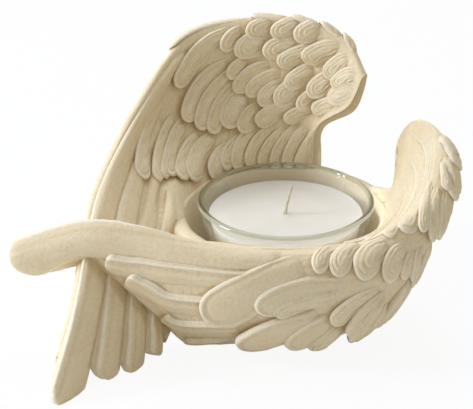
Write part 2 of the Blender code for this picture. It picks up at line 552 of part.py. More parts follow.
def sustainer(home, look):
    """The small metal foot that holds the wick: a thin disc with a short neck."""
    bottom = CUP_BASE_Z + CUP_FLOOR + FIT
    bore = WICK_RADIUS + FIT
    profile = [(bore, bottom), (SUSTAINER_RADIUS, bottom), (SUSTAINER_RADIUS, bottom + SUSTAINER_DISC),
               (bore + SUSTAINER_NECK_WALL, bottom + SUSTAINER_DISC), (bore + SUSTAINER_NECK_WALL, bottom + SUSTAINER_NECK),
               (bore, bottom + SUSTAINER_NECK)]
    return ring_solid("wick_sustainer", profile, home, look, 32)


def wick(home, look):
    """The wick: straight through the wax, then leaning a little above it."""
    start = CUP_BASE_Z + CUP_FLOOR + FIT
    heights = [start, WAX_TOP_Z + 0.4, WAX_TOP_Z + 3.5, WAX_TOP_Z + 7.0, WICK_TOP_Z]
    rings = []
    for z in heights:
        a = max(0.0, (z - heights[1]) / (WICK_TOP_Z - heights[1])) ** 1.3
        ring = [(WICK_LEAN[0] * a + WICK_RADIUS * math.cos(t), WICK_LEAN[1] * a + WICK_RADIUS * math.sin(t), z)
                for t in (2 * math.pi * k / 10 for k in range(10))]
        rings.append(ring)
    return add("wick", mesh_from("wick", [capped_grid(np.array(rings))]), home, look)


def build():
    """Builds the five pieces of the holder."""
    clear_scene()
    home = collection("wing_tealight_holder")
    cutters = collection("cutters", hidden=True)
    casting(home, cutters, material("cast_resin", (0.84, 0.79, 0.66), 0.6))
    cup(home, material("glass", (0.95, 0.98, 0.96), 0.03, 1.0))
    wax(home, material("wax", (0.93, 0.91, 0.86), 0.5))
    sustainer(home, material("sustainer_metal", (0.7, 0.7, 0.68), 0.35))
    wick(home, material("wick_cotton", (0.92, 0.9, 0.84), 0.9))


build()
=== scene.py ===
"""Looks of the winged tealight holder: a cream cast pair of wings round a clear glass cup of wax."""

import math

import bpy
import numpy as np
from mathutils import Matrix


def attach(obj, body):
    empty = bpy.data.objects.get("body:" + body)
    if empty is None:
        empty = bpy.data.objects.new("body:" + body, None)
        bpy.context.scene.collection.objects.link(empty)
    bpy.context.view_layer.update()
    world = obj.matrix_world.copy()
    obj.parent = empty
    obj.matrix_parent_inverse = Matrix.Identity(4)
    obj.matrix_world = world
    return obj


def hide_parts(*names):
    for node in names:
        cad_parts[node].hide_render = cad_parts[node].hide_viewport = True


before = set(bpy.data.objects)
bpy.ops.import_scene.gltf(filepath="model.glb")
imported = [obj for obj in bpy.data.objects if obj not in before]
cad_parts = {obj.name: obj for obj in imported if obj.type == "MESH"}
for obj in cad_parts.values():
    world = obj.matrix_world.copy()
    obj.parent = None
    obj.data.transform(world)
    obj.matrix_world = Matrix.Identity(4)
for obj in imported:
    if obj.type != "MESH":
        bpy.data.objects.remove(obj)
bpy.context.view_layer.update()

MM = 0.001

# Camera at the photograph's viewing angle
CAMERA_PLACE = (-0.0173, -0.5403, 0.301)
CAMERA_TILT = math.radians(64)
CAMERA_LENS = 130.4
CAMERA_SENSOR = 36.0

# Cup seat in the casting
WELL_FLOOR = 11.0
WELL_RECESS = 1.0
WELL_FLOOR_RADIUS = 32.6
WELL_SLOPE = 1.8 / 23.5
WELL_CENTRE_X = -1.0
FIT = 0.3

# Glass cup
CUP_RIM_RADIUS = 31.0
CUP_BASE_RADIUS = 24.0
CUP_RIM_Z = 40.0
CUP_WALL = 2.3
CUP_FLOOR = 2.6
CUP_ROUND = 1.6
CUP_STRAIGHT = 2.2
RIM_TINT_START = 1.5
RIM_TINT_FULL = 0.8
CUP_BASE_Z = WELL_FLOOR - WELL_RECESS + FIT

# Share of the light that passes the glass's wall and rim unbent, and share of the wall covered by a pale
# haze, a painted reflection of the bright surroundings
CLEAR_SHARE = 0.85
CLEAR_RIM_SHARE = 0.05
REFLECTION_HAZE = 0.10

# Wax, wick and sustainer. The wax's gap beside the leaning glass is wider by TAPER_GROWTH
WAX_TOP_Z = 34.3
WAX_DIP = 0.55
WAX_CLIMB = 0.45
WAX_RIPPLE = 0.06
TAPER_GROWTH = 1.04
WICK_RADIUS = 0.6
WICK_STRANDS = 3
WICK_TWIST = 2.6
STRAND_DEPTH = 0.10
WICK_TOP_Z = 45.0
WICK_LEAN = (2.2, 0.4)
SUSTAINER_RADIUS = 7.5
SUSTAINER_DISC = 0.5
SUSTAINER_NECK = 2.4
SUSTAINER_NECK_WALL = 0.7

# Outer profile of the bowl under the wings: radius, height
BOWL_OUTSIDE = [
    (1, 0.05), (28, 0.05), (30.5, 2.5), (33.5, 7), (38, 18), (40.3, 28), (40.6, 32.5), (39.6, 34.6),
    (38, 35.2), (36.4, 35.3),
]
BOWL_LIP = 34.5

# Back wing: each row goes from the leading edge down the inner face, under it and up the outer face
BACK_WING = [
    [(27.6, 30, 73), (23, 31, 61.8), (12.3, 36, 51.5), (10.6, 34.4, 36.3), (6, 20, -3), (11, 31, -3),
     (14.2, 42.5, 32), (14.8, 41.5, 48.5), (25.8, 35.5, 58.5), (29.6, 33, 72)],
    [(21, 38, 82.6), (15.6, 40, 65.8), (8.6, 39.5, 50.8), (2.3, 35.9, 34.6), (1, 20, -3), (3, 33, -3),
     (4, 46, 30), (9, 45.5, 50), (17, 45, 65), (22.6, 41, 81.8)],
    [(7, 43, 88), (2.2, 44, 69.7), (-5, 41.5, 51.9), (-9.6, 34.7, 34.2), (-5, 20, -3), (-6, 33, -3),
     (-9, 46, 28), (-4, 48.5, 51), (3, 49.5, 69), (7.5, 46, 87)],
    [(-13.9, 46, 87.6), (-17.5, 46, 69), (-20.5, 41, 52.1), (-20.2, 29.8, 34.2), (-11, 17, -3),
     (-17, 31, -3), (-25, 42, 27), (-24.5, 48, 51), (-20.5, 51.5, 68), (-14.8, 49, 86.6)],
    [(-35.6, 42, 81.5), (-36.3, 41, 64.2), (-33.6, 33.5, 48.6), (-28.2, 22.4, 34), (-17, 12, -3),
     (-26, 25, -3), (-36, 33, 26), (-40, 40, 48), (-41, 45.5, 63), (-37.5, 45, 80.8)],
    [(-51.8, 24, 64.2), (-48.3, 24, 53), (-43, 17, 42.9), (-34.9, 8.6, 34), (-20, 6, -3), (-33, 14, -3),
     (-43.5, 20, 22), (-50, 25, 40), (-53, 29, 51), (-54.2, 27, 63.2)],
    [(-63.4, -2, 48.6), (-55.8, -2, 42.3), (-47.1, -4.5, 37.1), (-35.3, -7.6, 33.4), (-21, -4, -1),
     (-36.5, -1, -1), (-46.5, 2, 20), (-53.5, 4, 31), (-60, 3.5, 37.5), (-65.6, 1, 46.6)],
    [(-67, -25, 41.2), (-58.7, -24, 35.3), (-50.9, -24, 29.7), (-41.8, -24, 22.3), (-36, -22, 14),
     (-38, -16, 6), (-45, -20, 16), (-54.5, -20.5, 23.5), (-62, -20.5, 30), (-69, -22, 38.8)],
    [(-69.5, -46, 26.6), (-61.8, -42, 22.3), (-53.1, -38, 17.5), (-43.3, -34, 12.3), (-39, -32.5, 9),
     (-40, -29.5, 5), (-46, -31, 8), (-55.5, -34, 13.5), (-64.4, -38, 17.6), (-71.2, -42.5, 24.2)],
    [(-74.5, -60.2, 11.9), (-64.2, -52, 9.4), (-53.7, -45, 7), (-44, -37, 5), (-41.5, -35.5, 3.5),
     (-42, -34, 1.5), (-47, -35, 2.5), (-56.5, -41.5, 4), (-66.8, -48.5, 6.3), (-75.6, -57, 9.6)],
]

# Front wing: each row goes from the ridge down the outer face to the ground, under it and up the inner face
FRONT_WING = [
    [(30, 21, 34), (32, 23, 33), (34.5, 24, 24), (31.5, 22, 12), (25, 18, -2), (18, 13, -3), (27, 19, 20),
     (28.5, 20, 31)],
    [(37.6, 3, 43.5), (40.5, 2.5, 42.5), (43, 1, 33), (38.5, 1, 17), (27, 1, -2), (20, 1, -3),
     (33, 2.5, 30), (35.5, 3.5, 38)],
    [(37.2, -7.5, 64.5), (41.5, -9, 65), (49, -10, 49), (43, -8, 26), (27, -8, -2), (20, -6, -3),
     (33.5, -4, 33), (38.5, -4, 50)],
    [(42, -13.5, 74), (47.5, -17.5, 74.5), (54, -20.5, 60), (45.5, -17.5, 33), (25, -14, -2), (19, -10, -3),
     (33, -10, 34.5), (39.5, -10.5, 53)],
    [(47.5, -22.5, 70.5), (53.5, -27.5, 68.5), (54.3, -30.5, 56), (43.5, -27, 33), (22, -18, -2),
     (18, -15, -3), (31, -18, 35.5), (40.5, -19.5, 51)],
    [(44.7, -32, 56.6), (48.5, -36, 53), (47.5, -37, 42), (38.5, -35, 24), (20, -22.5, -2), (15, -20, -3),
     (27, -25, 35.5), (36, -28, 45.5)],
    [(34.5, -41.3, 49), (38, -44.5, 44.5), (38, -45, 35), (31.5, -42, 19), (16, -26, -2), (12, -25, -3),
     (21, -31, 36), (27.5, -36, 42)],
    [(20, -45, 44), (24, -49, 39.5), (23.5, -50, 29), (20.5, -46.5, 14), (9, -28.5, -2), (8, -28, -3),
     (12, -36, 36.5), (16, -40.5, 41.5)],
    [(3, -46, 42.5), (4.5, -50, 38), (4, -51, 27), (3, -47, 12), (1, -30.5, -2), (1, -28, -3),
     (1, -37.5, 36.5), (2, -41.5, 41)],
    [(-16, -45, 42.5), (-17, -49, 38), (-17, -49.5, 27), (-17, -45.5, 12), (-16, -30, -2), (-11, -26, -3),
     (-13, -35, 36), (-14.5, -40, 40.5)],
    [(-36, -40.5, 44.5), (-37, -44, 40), (-37, -44.5, 29), (-36.5, -41, 13), (-33, -30.5, -2),
     (-24, -24, -3), (-28, -29, 34), (-32.5, -35, 40.5)],
    [(-50, -36.5, 47), (-50.5, -39.5, 42.5), (-50, -40.5, 34), (-48.5, -39.5, 24), (-46, -38, 16),
     (-43, -33.5, 14), (-45, -32, 26), (-48, -32.5, 42)],
    [(-66, -33, 46.5), (-66, -36, 43.5), (-66, -37, 38.5), (-65.5, -36.5, 34), (-65, -35, 31),
     (-64.5, -31.5, 31), (-65, -29.5, 36), (-65.5, -29.5, 44)],
    [(-80, -30.5, 42), (-80.5, -33, 39.5), (-81, -34, 35.5), (-81, -33.5, 31), (-80.5, -31.5, 27.5),
     (-80, -29, 28), (-80.5, -28, 33), (-80, -28, 39.5)],
    [(-91, -29.5, 36.5), (-92.3, -31, 34.8), (-93, -31.5, 32.5), (-92.3, -31.2, 30), (-91, -30, 28.5),
     (-90.5, -28.7, 29), (-91, -28, 31.5), (-90.8, -28.2, 35)],
]

# Feathers on the back wing's inner face: surface places of root, middle and tip, then width in mm
BACK_COVERTS = [
    (3.12, 0.12, 3.73, 0.41, 4.22, 0.77, 7.1), (2.97, 0.13, 3.20, 0.29, 3.26, 0.55, 5.3),
    (2.55, 0.37, 2.84, 0.49, 2.98, 0.71, 7.9), (2.49, -0.04, 2.74, 0.13, 2.88, 0.35, 7.0),
    (2.03, -0.22, 2.31, 0.14, 2.45, 0.37, 6.9), (1.60, -0.30, 1.86, 0.08, 2.04, 0.38, 6.9),
    (1.93, 0.38, 2.32, 0.53, 2.48, 0.74, 7.0), (1.53, 0.44, 1.99, 0.66, 2.22, 0.89, 5.7),
    (0.89, 0.03, 1.46, 0.43, 1.74, 0.72, 6.5), (0.57, 0.07, 0.92, 0.51, 1.01, 0.81, 6.2),
    (2.75, 0.81, 2.97, 0.88, 3.10, 1.12, 5.0), (2.29, 0.90, 2.71, 1.07, 2.89, 1.46, 5.3),
    (2.03, 1.04, 2.44, 1.20, 2.62, 1.56, 5.2), (1.96, 1.24, 2.21, 1.42, 2.26, 1.75, 5.7),
    (1.55, 1.14, 1.83, 1.37, 1.88, 1.72, 6.9), (1.36, 0.75, 1.74, 1.00, 1.85, 1.33, 5.6),
    (0.83, 0.75, 1.15, 1.02, 1.22, 1.37, 6.5), (1.07, 1.24, 1.33, 1.43, 1.34, 1.72, 4.9),
    (0.12, 0.10, 0.55, 0.59, 0.71, 0.90, 6.1), (-0.02, 0.51, 0.39, 0.87, 0.54, 1.25, 6.3),
    (0.27, 1.12, 0.66, 1.41, 0.86, 1.70, 4.8), (3.03, 0.74, 3.65, 1.07, 4.08, 1.66, 5.5),
    (2.90, 0.93, 3.40, 1.35, 3.76, 1.99, 5.4), (2.78, 1.17, 3.19, 1.60, 3.43, 2.20, 5.0),
    (2.55, 1.48, 2.84, 1.70, 3.01, 2.18, 7.8), (2.21, 1.73, 2.49, 1.95, 2.56, 2.32, 5.7),
    (1.39, 1.63, 1.93, 1.83, 2.24, 2.14, 5.7), (0.82, 1.55, 1.37, 1.77, 1.57, 2.02, 4.5),
    (3.92, 1.82, 4.48, 1.80, 4.99, 2.32, 4.3), (3.57, 2.13, 4.24, 2.18, 4.79, 2.64, 4.6),
    (3.14, 2.26, 3.88, 2.41, 4.50, 2.81, 6.0), (2.67, 2.56, 3.23, 2.70, 3.67, 2.98, 6.2),
    (2.44, 2.39, 2.85, 2.62, 3.11, 2.91, 5.2), (2.16, 2.09, 2.51, 2.51, 2.71, 2.94, 5.1),
    (1.74, 2.02, 2.09, 2.52, 2.27, 2.94, 4.6), (1.45, 2.03, 1.74, 2.57, 1.86, 2.96, 4.1),
    (1.21, 1.95, 1.43, 2.57, 1.47, 2.98, 4.1), (0.77, 1.96, 1.00, 2.57, 1.02, 2.99, 4.5),
    (-0.27, 2.02, 0.31, 2.67, 0.47, 3.00, 4.7), (4.40, 0.78, 5.00, 0.80, 5.61, 1.39, 5.8),
    (4.17, 1.36, 4.77, 1.43, 5.38, 1.93, 4.0), (4.00, 1.56, 4.61, 1.71, 5.18, 2.12, 3.5),
]

# Feathers on the front wing's outer face, in the same form
FRONT_COVERTS = [
    (7.84, 0.63, 8.73, 1.66, 9.48, 2.63, 15.0), (7.25, 1.54, 8.17, 1.73, 8.58, 2.33, 9.4),
    (7.28, 1.84, 8.00, 2.01, 8.36, 2.37, 6.5), (7.58, 2.45, 8.39, 2.88, 8.86, 3.35, 13.0),
    (7.37, 2.51, 7.81, 2.83, 8.07, 3.23, 9.7), (7.16, 2.77, 7.45, 3.03, 7.57, 3.40, 7.3),
    (6.48, 2.03, 7.10, 2.20, 7.42, 2.64, 6.1), (6.34, 2.27, 6.85, 2.39, 7.10, 2.95, 3.9),
    (6.30, 2.42, 6.70, 2.64, 6.92, 3.15, 4.8), (5.97, 2.78, 6.30, 3.00, 6.55, 3.45, 4.8),
    (5.25, 2.55, 5.60, 2.85, 5.95, 3.35, 7.0), (6.21, 0.47, 6.75, 0.67, 7.04, 1.48, 8.6),
    (5.87, 1.21, 6.30, 1.20, 6.46, 1.92, 6.7), (6.60, -0.30, 7.22, 0.36, 7.46, 1.26, 6.9),
    (6.95, -0.35, 7.53, 0.16, 7.76, 1.11, 5.5), (5.71, 1.40, 5.99, 1.70, 6.00, 2.16, 4.2),
    (5.45, 1.49, 5.69, 1.84, 5.50, 2.52, 4.3), (4.95, 1.95, 5.12, 2.35, 5.35, 2.75, 4.8),
    (4.57, 0.13, 5.11, 0.23, 5.58, 0.99, 3.4), (4.60, 0.54, 5.05, 0.82, 5.27, 1.69, 4.2),
    (4.50, 1.00, 4.64, 1.55, 4.78, 2.15, 4.8), (4.36, 1.40, 4.40, 1.90, 4.55, 2.35, 4.2),
    (4.27, 0.36, 4.43, 0.72, 4.55, 1.17, 3.1), (3.94, 0.68, 4.12, 1.34, 3.96, 2.09, 5.3),
    (3.38, 1.03, 3.70, 1.20, 3.63, 1.77, 4.8), (3.45, 0.75, 3.60, 1.10, 3.85, 1.45, 4.8),
]

# Long feathers: root, middle, tip, then width at the root and near the tip
BACK_PRIMARIES = [
    (3.9, 0.30, 7.0, 0.50, 9.90, 0.34, 9.0, 16.5),
    (4.6, 1.00, 7.2, 1.36, 9.70, 1.36, 8.0, 12.0),
    (5.0, 1.75, 7.4, 2.18, 9.85, 2.12, 6.0, 11.0),
    (5.2, 2.45, 7.6, 2.85, 9.70, 2.93, 5.5, 8.5),
]
FRONT_PRIMARIES = [
    (8.2, 0.35, 11.6, 1.05, 13.98, 2.10, 10.0, 15.5),
    (8.4, 1.35, 10.4, 1.75, 11.70, 2.60, 9.5, 9.0),
    (8.6, 2.20, 10.3, 2.55, 11.35, 3.00, 9.5, 9.0),
    (8.8, 2.85, 9.90, 3.05, 10.50, 3.25, 9.0, 7.0),
    (9.0, 3.40, 9.60, 3.50, 10.00, 3.55, 8.0, 6.0),
]

# Feathers along the back wing's top edge, in the same form
CREST_FEATHERS = [
    (0.50, 9.40, 0.85, 9.35, 1.20, 9.25, 5.0, 6.0), (1.05, 9.40, 1.40, 9.35, 1.75, 9.25, 5.0, 6.0),
    (1.60, 9.40, 1.95, 9.35, 2.30, 9.25, 5.0, 6.0), (2.15, 9.40, 2.55, 9.35, 2.90, 9.25, 5.0, 6.0),
    (2.75, 9.35, 3.50, 9.22, 4.20, 9.10, 6.0, 7.0),
]

# Rows on the back wing's outer face: the step from feather to feather, then v, width, length and count of
# each row, and v and width of the long feathers there
BACK_REAR_STEP = 0.56
BACK_REAR_ROWS = [(8.75, 8.0, 0.95, 9), (8.1, 9.0, 1.05, 8), (7.35, 9.5, 1.15, 7), (6.7, 9.0, 1.1, 6)]
BACK_REAR_LONG = [(8.55, 12.0), (7.7, 12.0), (6.9, 10.0)]

# Rows down the outer face of the front wing's shoulder: the step, then v, width and count of each row
SHOULDER_STEP = 0.62
SHOULDER_ROWS = [(1.9, 7.5, 5), (2.6, 8.0, 6), (3.3, 8.0, 7)]

# Ribs up the shoulder's inner face, broad ones and fine ones between them: v, start
INNER_RIBS = [(6.35, 2.6), (6.8, 2.1), (7.25, 1.9), (7.65, 2.0)]
FINE_RIBS = [(6.58, 2.7), (7.02, 2.4), (7.45, 2.5), (7.85, 2.7)]

# Two thin feathers where the curl meets the front wing's ridge, in the form of the coverts
RIDGE_FEATHERS = [(5.15, -0.45, 5.75, -0.25, 6.30, 0.10, 5.0), (5.00, -0.20, 5.50, 0.08, 5.95, 0.50, 6.2)]

# Feathers: depth of the root in the wing, height of the tip over it, and thickness; the hem is the lowest row
COVERT_LIFT = (1.0, 1.2, 2.3)
FAN_LIFT = (1.0, 0.8, 4.2)
LEADING_LIFT = (1.0, 1.2, 3.2)
TUCKED_LIFT = (1.0, 0.4, 2.8)
CREST_LIFT = (1.0, 0.9, 2.2)
RIB_LIFT = (0.8, 0.2, 1.1)
FINE_RIB_LIFT = (0.6, 0.1, 0.9)
RIDGE_LIFT = (0.9, 0.5, 1.3)
HEM_RISE = 1.1
HEM_THICK = 2.2
HEM_START = 2.6

# Widths at root and tip for each mm that a table gives: back and front coverts, and the plain rows. Front
# coverts over the last width have a rim
BACK_WIDTHS = (1.1, 1.35)
FRONT_WIDTHS = (0.9, 1.15)
ROW_WIDTHS = (0.7, 1.0)
BROAD_COVERT = 8.9

# Form of a feather: the powers of its superellipse section, its round end as a share of its width, the width
# at its very root and where it is full, and the thickness at root and tip
SIDE_POWER = 0.8
FACE_POWER = 0.85
TIP_ROUND = 0.6
NECK_WIDTH = 0.75
NECK_END = 0.3
ROOT_THIN = 0.25
ROOT_SHARE = 0.35
ROOT_LENGTH = 6.0
TIP_THIN = 0.35
BEVEL_START = 0.35
LAST_RING = 0.998

# Feathers near a wing's first section stay on it and lie flatter there
FIRST_PLACE = 0.1
FLAT_UNTIL = 0.45
FLAT_SHARE = 0.15

# Fineness of the long feathers' meshes
LONG_MESH = {"rings": 130, "top": 70, "under": 16}
REAR_MESH = {"rings": 110, "top": 60, "under": 12}
RIB_MESH = {"rings": 90, "top": 36}

# Painted highlight on edges: how wide the lit rim is, and the carved height from which a ridge is painted as
# lit
HIGHLIGHT_WIDTH = 0.8
HIGHLIGHT_FROM = 0.10
HIGHLIGHT_RANGE = 0.30

# Painted shade in creases: the two reaches over which creases are measured, the share of each and that of the
# carved grooves, which are darkened too. On the well's wall, where many skins lie together, the painted shade
# counts only by the last share
FINE_REACH = 1.2
BROAD_REACH = 2.8
REACH_SHARE = 0.5
GROOVE_SHARE = 0.45
WELL_CREASE = 0.3

# What would stand in the well: near its floor it goes this far under it, and elsewhere this far behind the
# wall, with a share more for each mm of its depth
UNDER_FLOOR = 1.3
OVER_FLOOR = 0.3
BEHIND_WALL = 0.1
DEEPER_SHARE = 0.04

# Carving: distance between a feather's nested ridges, their height and the depth of the grooves between
RIDGE_STEP = 1.45
RIDGE_RISE = 0.13
GROOVE_DEPTH = 0.25

# The crest along a long feather: its height and its place, as a share of the half width
CREST_RISE = 0.65
CREST_PLACE = 0.68

# Colours of the finishes
RESIN_WARM = (0.855, 0.713, 0.472, 1)
RESIN_PALE = (0.873, 0.742, 0.508, 1)
# Painted shade colour, given to creases and carved grooves where shade falls
RESIN_PAINTED_SHADE = (0.660, 0.500, 0.280, 1)
# Painted highlight colour, given to the feathers' edges and raised ridges where light catches them
RESIN_PAINTED_HIGHLIGHT = (0.950, 0.870, 0.700, 1)
GLASS_WALL = (0.985, 0.99, 0.975, 1)
GLASS_RIM = (0.46, 0.50, 0.36, 1)
GLASS_CLEAR = (0.985, 0.99, 0.98, 1)
# Painted reflection: colour of the pale haze on the glass's wall, standing in for the bright surroundings it
# reflects
REFLECTION_HAZE_COLOUR = (0.93, 0.90, 0.82, 1)
WAX_WARM = (0.77, 0.725, 0.635, 1)
WAX_PALE = (0.83, 0.785, 0.695, 1)
COTTON_WARM = (0.72, 0.66, 0.50, 1)
COTTON_PALE = (0.85, 0.80, 0.66, 1)
TIN_DARK = (0.60, 0.60, 0.58, 1)
TIN_BRIGHT = (0.78, 0.78, 0.76, 1)

# Stage: the floor and its share of plain white, the surround's light, and the soft boxes' colour and aim
FLOOR_REACH = 4.0
FLOOR_COLOUR = (0.86, 0.86, 0.85, 1)
FLOOR_WHITE = 0.92
SURROUND_COLOUR = (1.0, 0.96, 0.885, 1)
SURROUND_LEVEL = 0.435
LAMP_COLOUR = (0.89, 0.965, 1.12)
LAMP_AIM = (0, 0, 0.03)


def placed(name, data):
    """A new object in the scene."""
    obj = bpy.data.objects.new(name, data)
    bpy.context.scene.collection.objects.link(obj)
    return obj


def make_camera():
    """The photograph's camera."""
    lens = bpy.data.cameras.new("photo_camera")
    lens.lens = CAMERA_LENS
    lens.sensor_width = CAMERA_SENSOR
    lens.clip_start = 0.01
    lens.clip_end = 20.0
    camera = placed("photo_camera", lens)
    camera.location = CAMERA_PLACE
    camera.rotation_euler = (CAMERA_TILT, 0.0, 0.0)
    bpy.context.scene.camera = camera
    bpy.context.scene.view_settings.view_transform = "Standard"


# Surfaces

def cubic_weights(f):
    """Catmull-Rom weights of the four control points round a cell, at a share f of the way through it."""
    return [(-f**3 + 2 * f**2 - f) / 2, (3 * f**3 - 5 * f**2 + 2) / 2,
            (-3 * f**3 + 4 * f**2 + f) / 2, (f**3 - f**2) / 2]


def open_weights(count, places):
    """Catmull-Rom weights of an open row of control points at each place, carried straight on at the ends."""
    flat = np.asarray(places, float).ravel()
    inside = np.clip(flat, 0, count - 1)
    cell = np.clip(np.floor(inside).astype(int), 0, count - 2)
    f = inside - cell
    value = cubic_weights(f)
    slope = [(-3 * f**2 + 4 * f - 1) / 2, (9 * f**2 - 10 * f) / 2,
             (-9 * f**2 + 8 * f + 1) / 2, (3 * f**2 - 2 * f) / 2]
    table = np.zeros((flat.size, count + 2))
    rows = np.arange(flat.size)
    for k in range(4):
        np.add.at(table, (rows, cell + k), value[k] + slope[k] * (flat - inside))
    row_weights = table[:, 1:-1].copy()
    row_weights[:, 0] += 2 * table[:, 0]
    row_weights[:, 1] -= table[:, 0]
    row_weights[:, -1] += 2 * table[:, -1]
    row_weights[:, -2] -= table[:, -1]
    return row_weights


def ring_weights(count, places):
    """Catmull-Rom weights of a closed ring of control points at each place."""
    flat = np.asarray(places, float).ravel()
    cell = np.floor(flat).astype(int)
    value = cubic_weights(flat - cell)
    table = np.zeros((flat.size, count))
    rows = np.arange(flat.size)
    for k in range(4):
        np.add.at(table, (rows, (cell + k - 1) % count), value[k])
    return table


def on_wing(net, u, v):
    """Points of a wing surface: u counts sections along it and v runs round each section."""
    along = open_weights(net.shape[0], u)
    across = ring_weights(net.shape[1], v)
    sections = np.einsum("pi,ijk->pjk", along, net)
    return np.einsum("pj,pjk->pk", across, sections).reshape(np.shape(u) + (3,))


def wing_frame(net, u, v):
    """Point, both surface slopes and the outward normal at each place on a wing."""
    step = 0.01
    here = on_wing(net, u, v)
    du = (on_wing(net, u + step, v) - on_wing(net, u - step, v)) / (2 * step)
    dv = (on_wing(net, u, v + step) - on_wing(net, u, v - step)) / (2 * step)
    normal = np.cross(du, dv)
    return here, du, dv, normal / np.linalg.norm(normal, axis=-1, keepdims=True)


def smooth_step(x, low, high):
    """0 below low, 1 above high and an S curve between."""
    t = np.clip((x - low) / (high - low), 0, 1)
    return t * t * (3 - 2 * t)


def bell(x, centre, width):
    """A bell curve: 1 at its centre, and 1/e at its width away."""
    return np.exp(-(((x - centre) / width) ** 2))


def quads_of(*corners):
    """Quads of four arrays of corner numbers."""
    return np.stack(corners, -1).reshape(-1, 4)


def tube_faces(rings, around):
    """Quads of a tube of rings, and the triangles that close both ends on one pole each."""
    i, j = np.meshgrid(np.arange(rings - 1), np.arange(around), indexing="ij")
    k = (j + 1) % around
    quads = quads_of(i * around + j, (i + 1) * around + j, (i + 1) * around + k, i * around + k)
    j = np.arange(around)
    k = (j + 1) % around
    first = np.full(around, rings * around)
    last = np.full(around, rings * around + 1)
    end = (rings - 1) * around
    tris = np.concatenate([np.stack([first, j, k], -1), np.stack([last, end + k, end + j], -1)])
    return quads, tris


def as_triangles(quads, tris):
    """Quads cut in two, and triangles, as one array."""
    return np.concatenate([quads[:, [0, 1, 2]], quads[:, [0, 2, 3]], tris])


def turned_out(points, quads, tris):
    """The same faces with their corners in the order that makes the skin's volume positive."""
    flat = as_triangles(quads, tris)
    a, b, c = (points[flat[:, k]] for k in range(3))
    if np.einsum("ij,ij->i", a, np.cross(b, c)).sum() < 0:
        return quads[:, ::-1], tris[:, ::-1]
    return quads, tris


def plain_marks(across, along, seed=0.0):
    """Marks of a skin that has no rim and no grooves, from its places across and along in mm."""
    across, along = np.broadcast_arrays(across, along)
    none = np.zeros(across.shape)
    return np.stack([across, along, none + seed, none, none], -1)


def skin(grid, marks, poles=None):
    """A closed skin of a grid of rings: points, faces and the five marks of each point. They are its place
    across and along the feather in mm, the feather's number, nearness to the rim and depth in a groove."""
    rings, around, _ = grid.shape
    ends = np.array([grid[0].mean(0), grid[-1].mean(0)]) if poles is None else np.array(poles, float)
    points = np.concatenate([grid.reshape(-1, 3), ends])
    quads, tris = turned_out(points, *tube_faces(rings, around))
    mark_ends = np.array([marks[0].mean(0), marks[-1].mean(0)])
    return points, quads, tris, np.concatenate([marks.reshape(-1, 5), mark_ends])


# Feathers

def nested_ridges(across, along, edge, widest, length):
    """Ridges that follow the feather's outline one inside the other, a little unevenly, as cut by hand. Each
    is a little higher than the one outside it, with a soft groove at its foot. All fade out at the root."""
    count = max(2, round(widest / RIDGE_STEP))
    step = widest / (count + 0.4)
    wander = 0.16 * np.sin(0.9 * along + 0.6 * across + 3 * widest)
    wander = wander + 0.08 * np.sin(2.3 * along - 1.1 * across)
    depth = GROOVE_DEPTH * (0.8 + 0.35 * np.sin(0.7 * along + 1.3 * across + 5 * widest))
    height = np.zeros(np.shape(edge))
    for k in range(1, count + 1):
        inside = edge - k * step + wander
        height = height + RIDGE_RISE * smooth_step(inside, -0.30, 0.40) - depth * bell(inside, 0, 0.33)
    return smooth_step(along / length, 0.02, 0.25) * height


def fine_streaks(drift, along, broad, fine, slant):
    """Two sets of waves, each given as height and pitch. The finer ones slant along the feather."""
    wave = broad[0] * np.sin(2 * math.pi * drift / broad[1])
    return wave + fine[0] * np.sin(2 * math.pi * drift / fine[1] + along / slant)


def rimmed_streaks(across, along, edge, widest, length):
    """A rounded rim along a broad feather's outline, a faint hollow inside it and fine streaks along it."""
    drift = across + 0.5 * np.sin(along / 7.0)
    streaks = fine_streaks(drift, along, (0.02, 2.1), (0.01, 0.9), 11.0)
    rim = 0.42 * bell(edge, 0.9, 0.6) - 0.20 * bell(edge, 2.2, 0.8)
    return smooth_step(along / length, 0.02, 0.25) * (rim + smooth_step(edge, 1.2, 2.4) * streaks)


def long_streaks(across, along, edge, widest, length):
    """Streaks that run the length of a long feather and drift slowly to one side, with two narrow creases."""
    drift = across + 0.35 * np.sin(along / 9.0)
    streaks = fine_streaks(drift, along, (0.03, 2.6), (0.015, 1.2), 14.0)
    creases = 0.24 * bell(drift, 0.28 * widest, 0.35) + 0.20 * bell(drift, -0.35 * widest, 0.30)
    return smooth_step(edge, 0.2, 1.4) * (streaks - creases)


def crested_vane(across, along, edge, widest, length):
    """A long feather with a raised crest near its left side, a shallow hollow beside it and faint streaks."""
    drift = across + 0.35 * np.sin(along / 9.0)
    crest = CREST_RISE * bell(across, -CREST_PLACE * widest, 0.75)
    hollow = -0.22 * bell(across, (0.36 - CREST_PLACE) * widest, 1.1)
    streaks = fine_streaks(drift, along, (0.03, 2.6), (0.01, 1.1), 14.0)
    return smooth_step(along / length, 0.02, 0.15) * smooth_step(edge, 0.1, 0.9) * (crest + hollow + streaks)


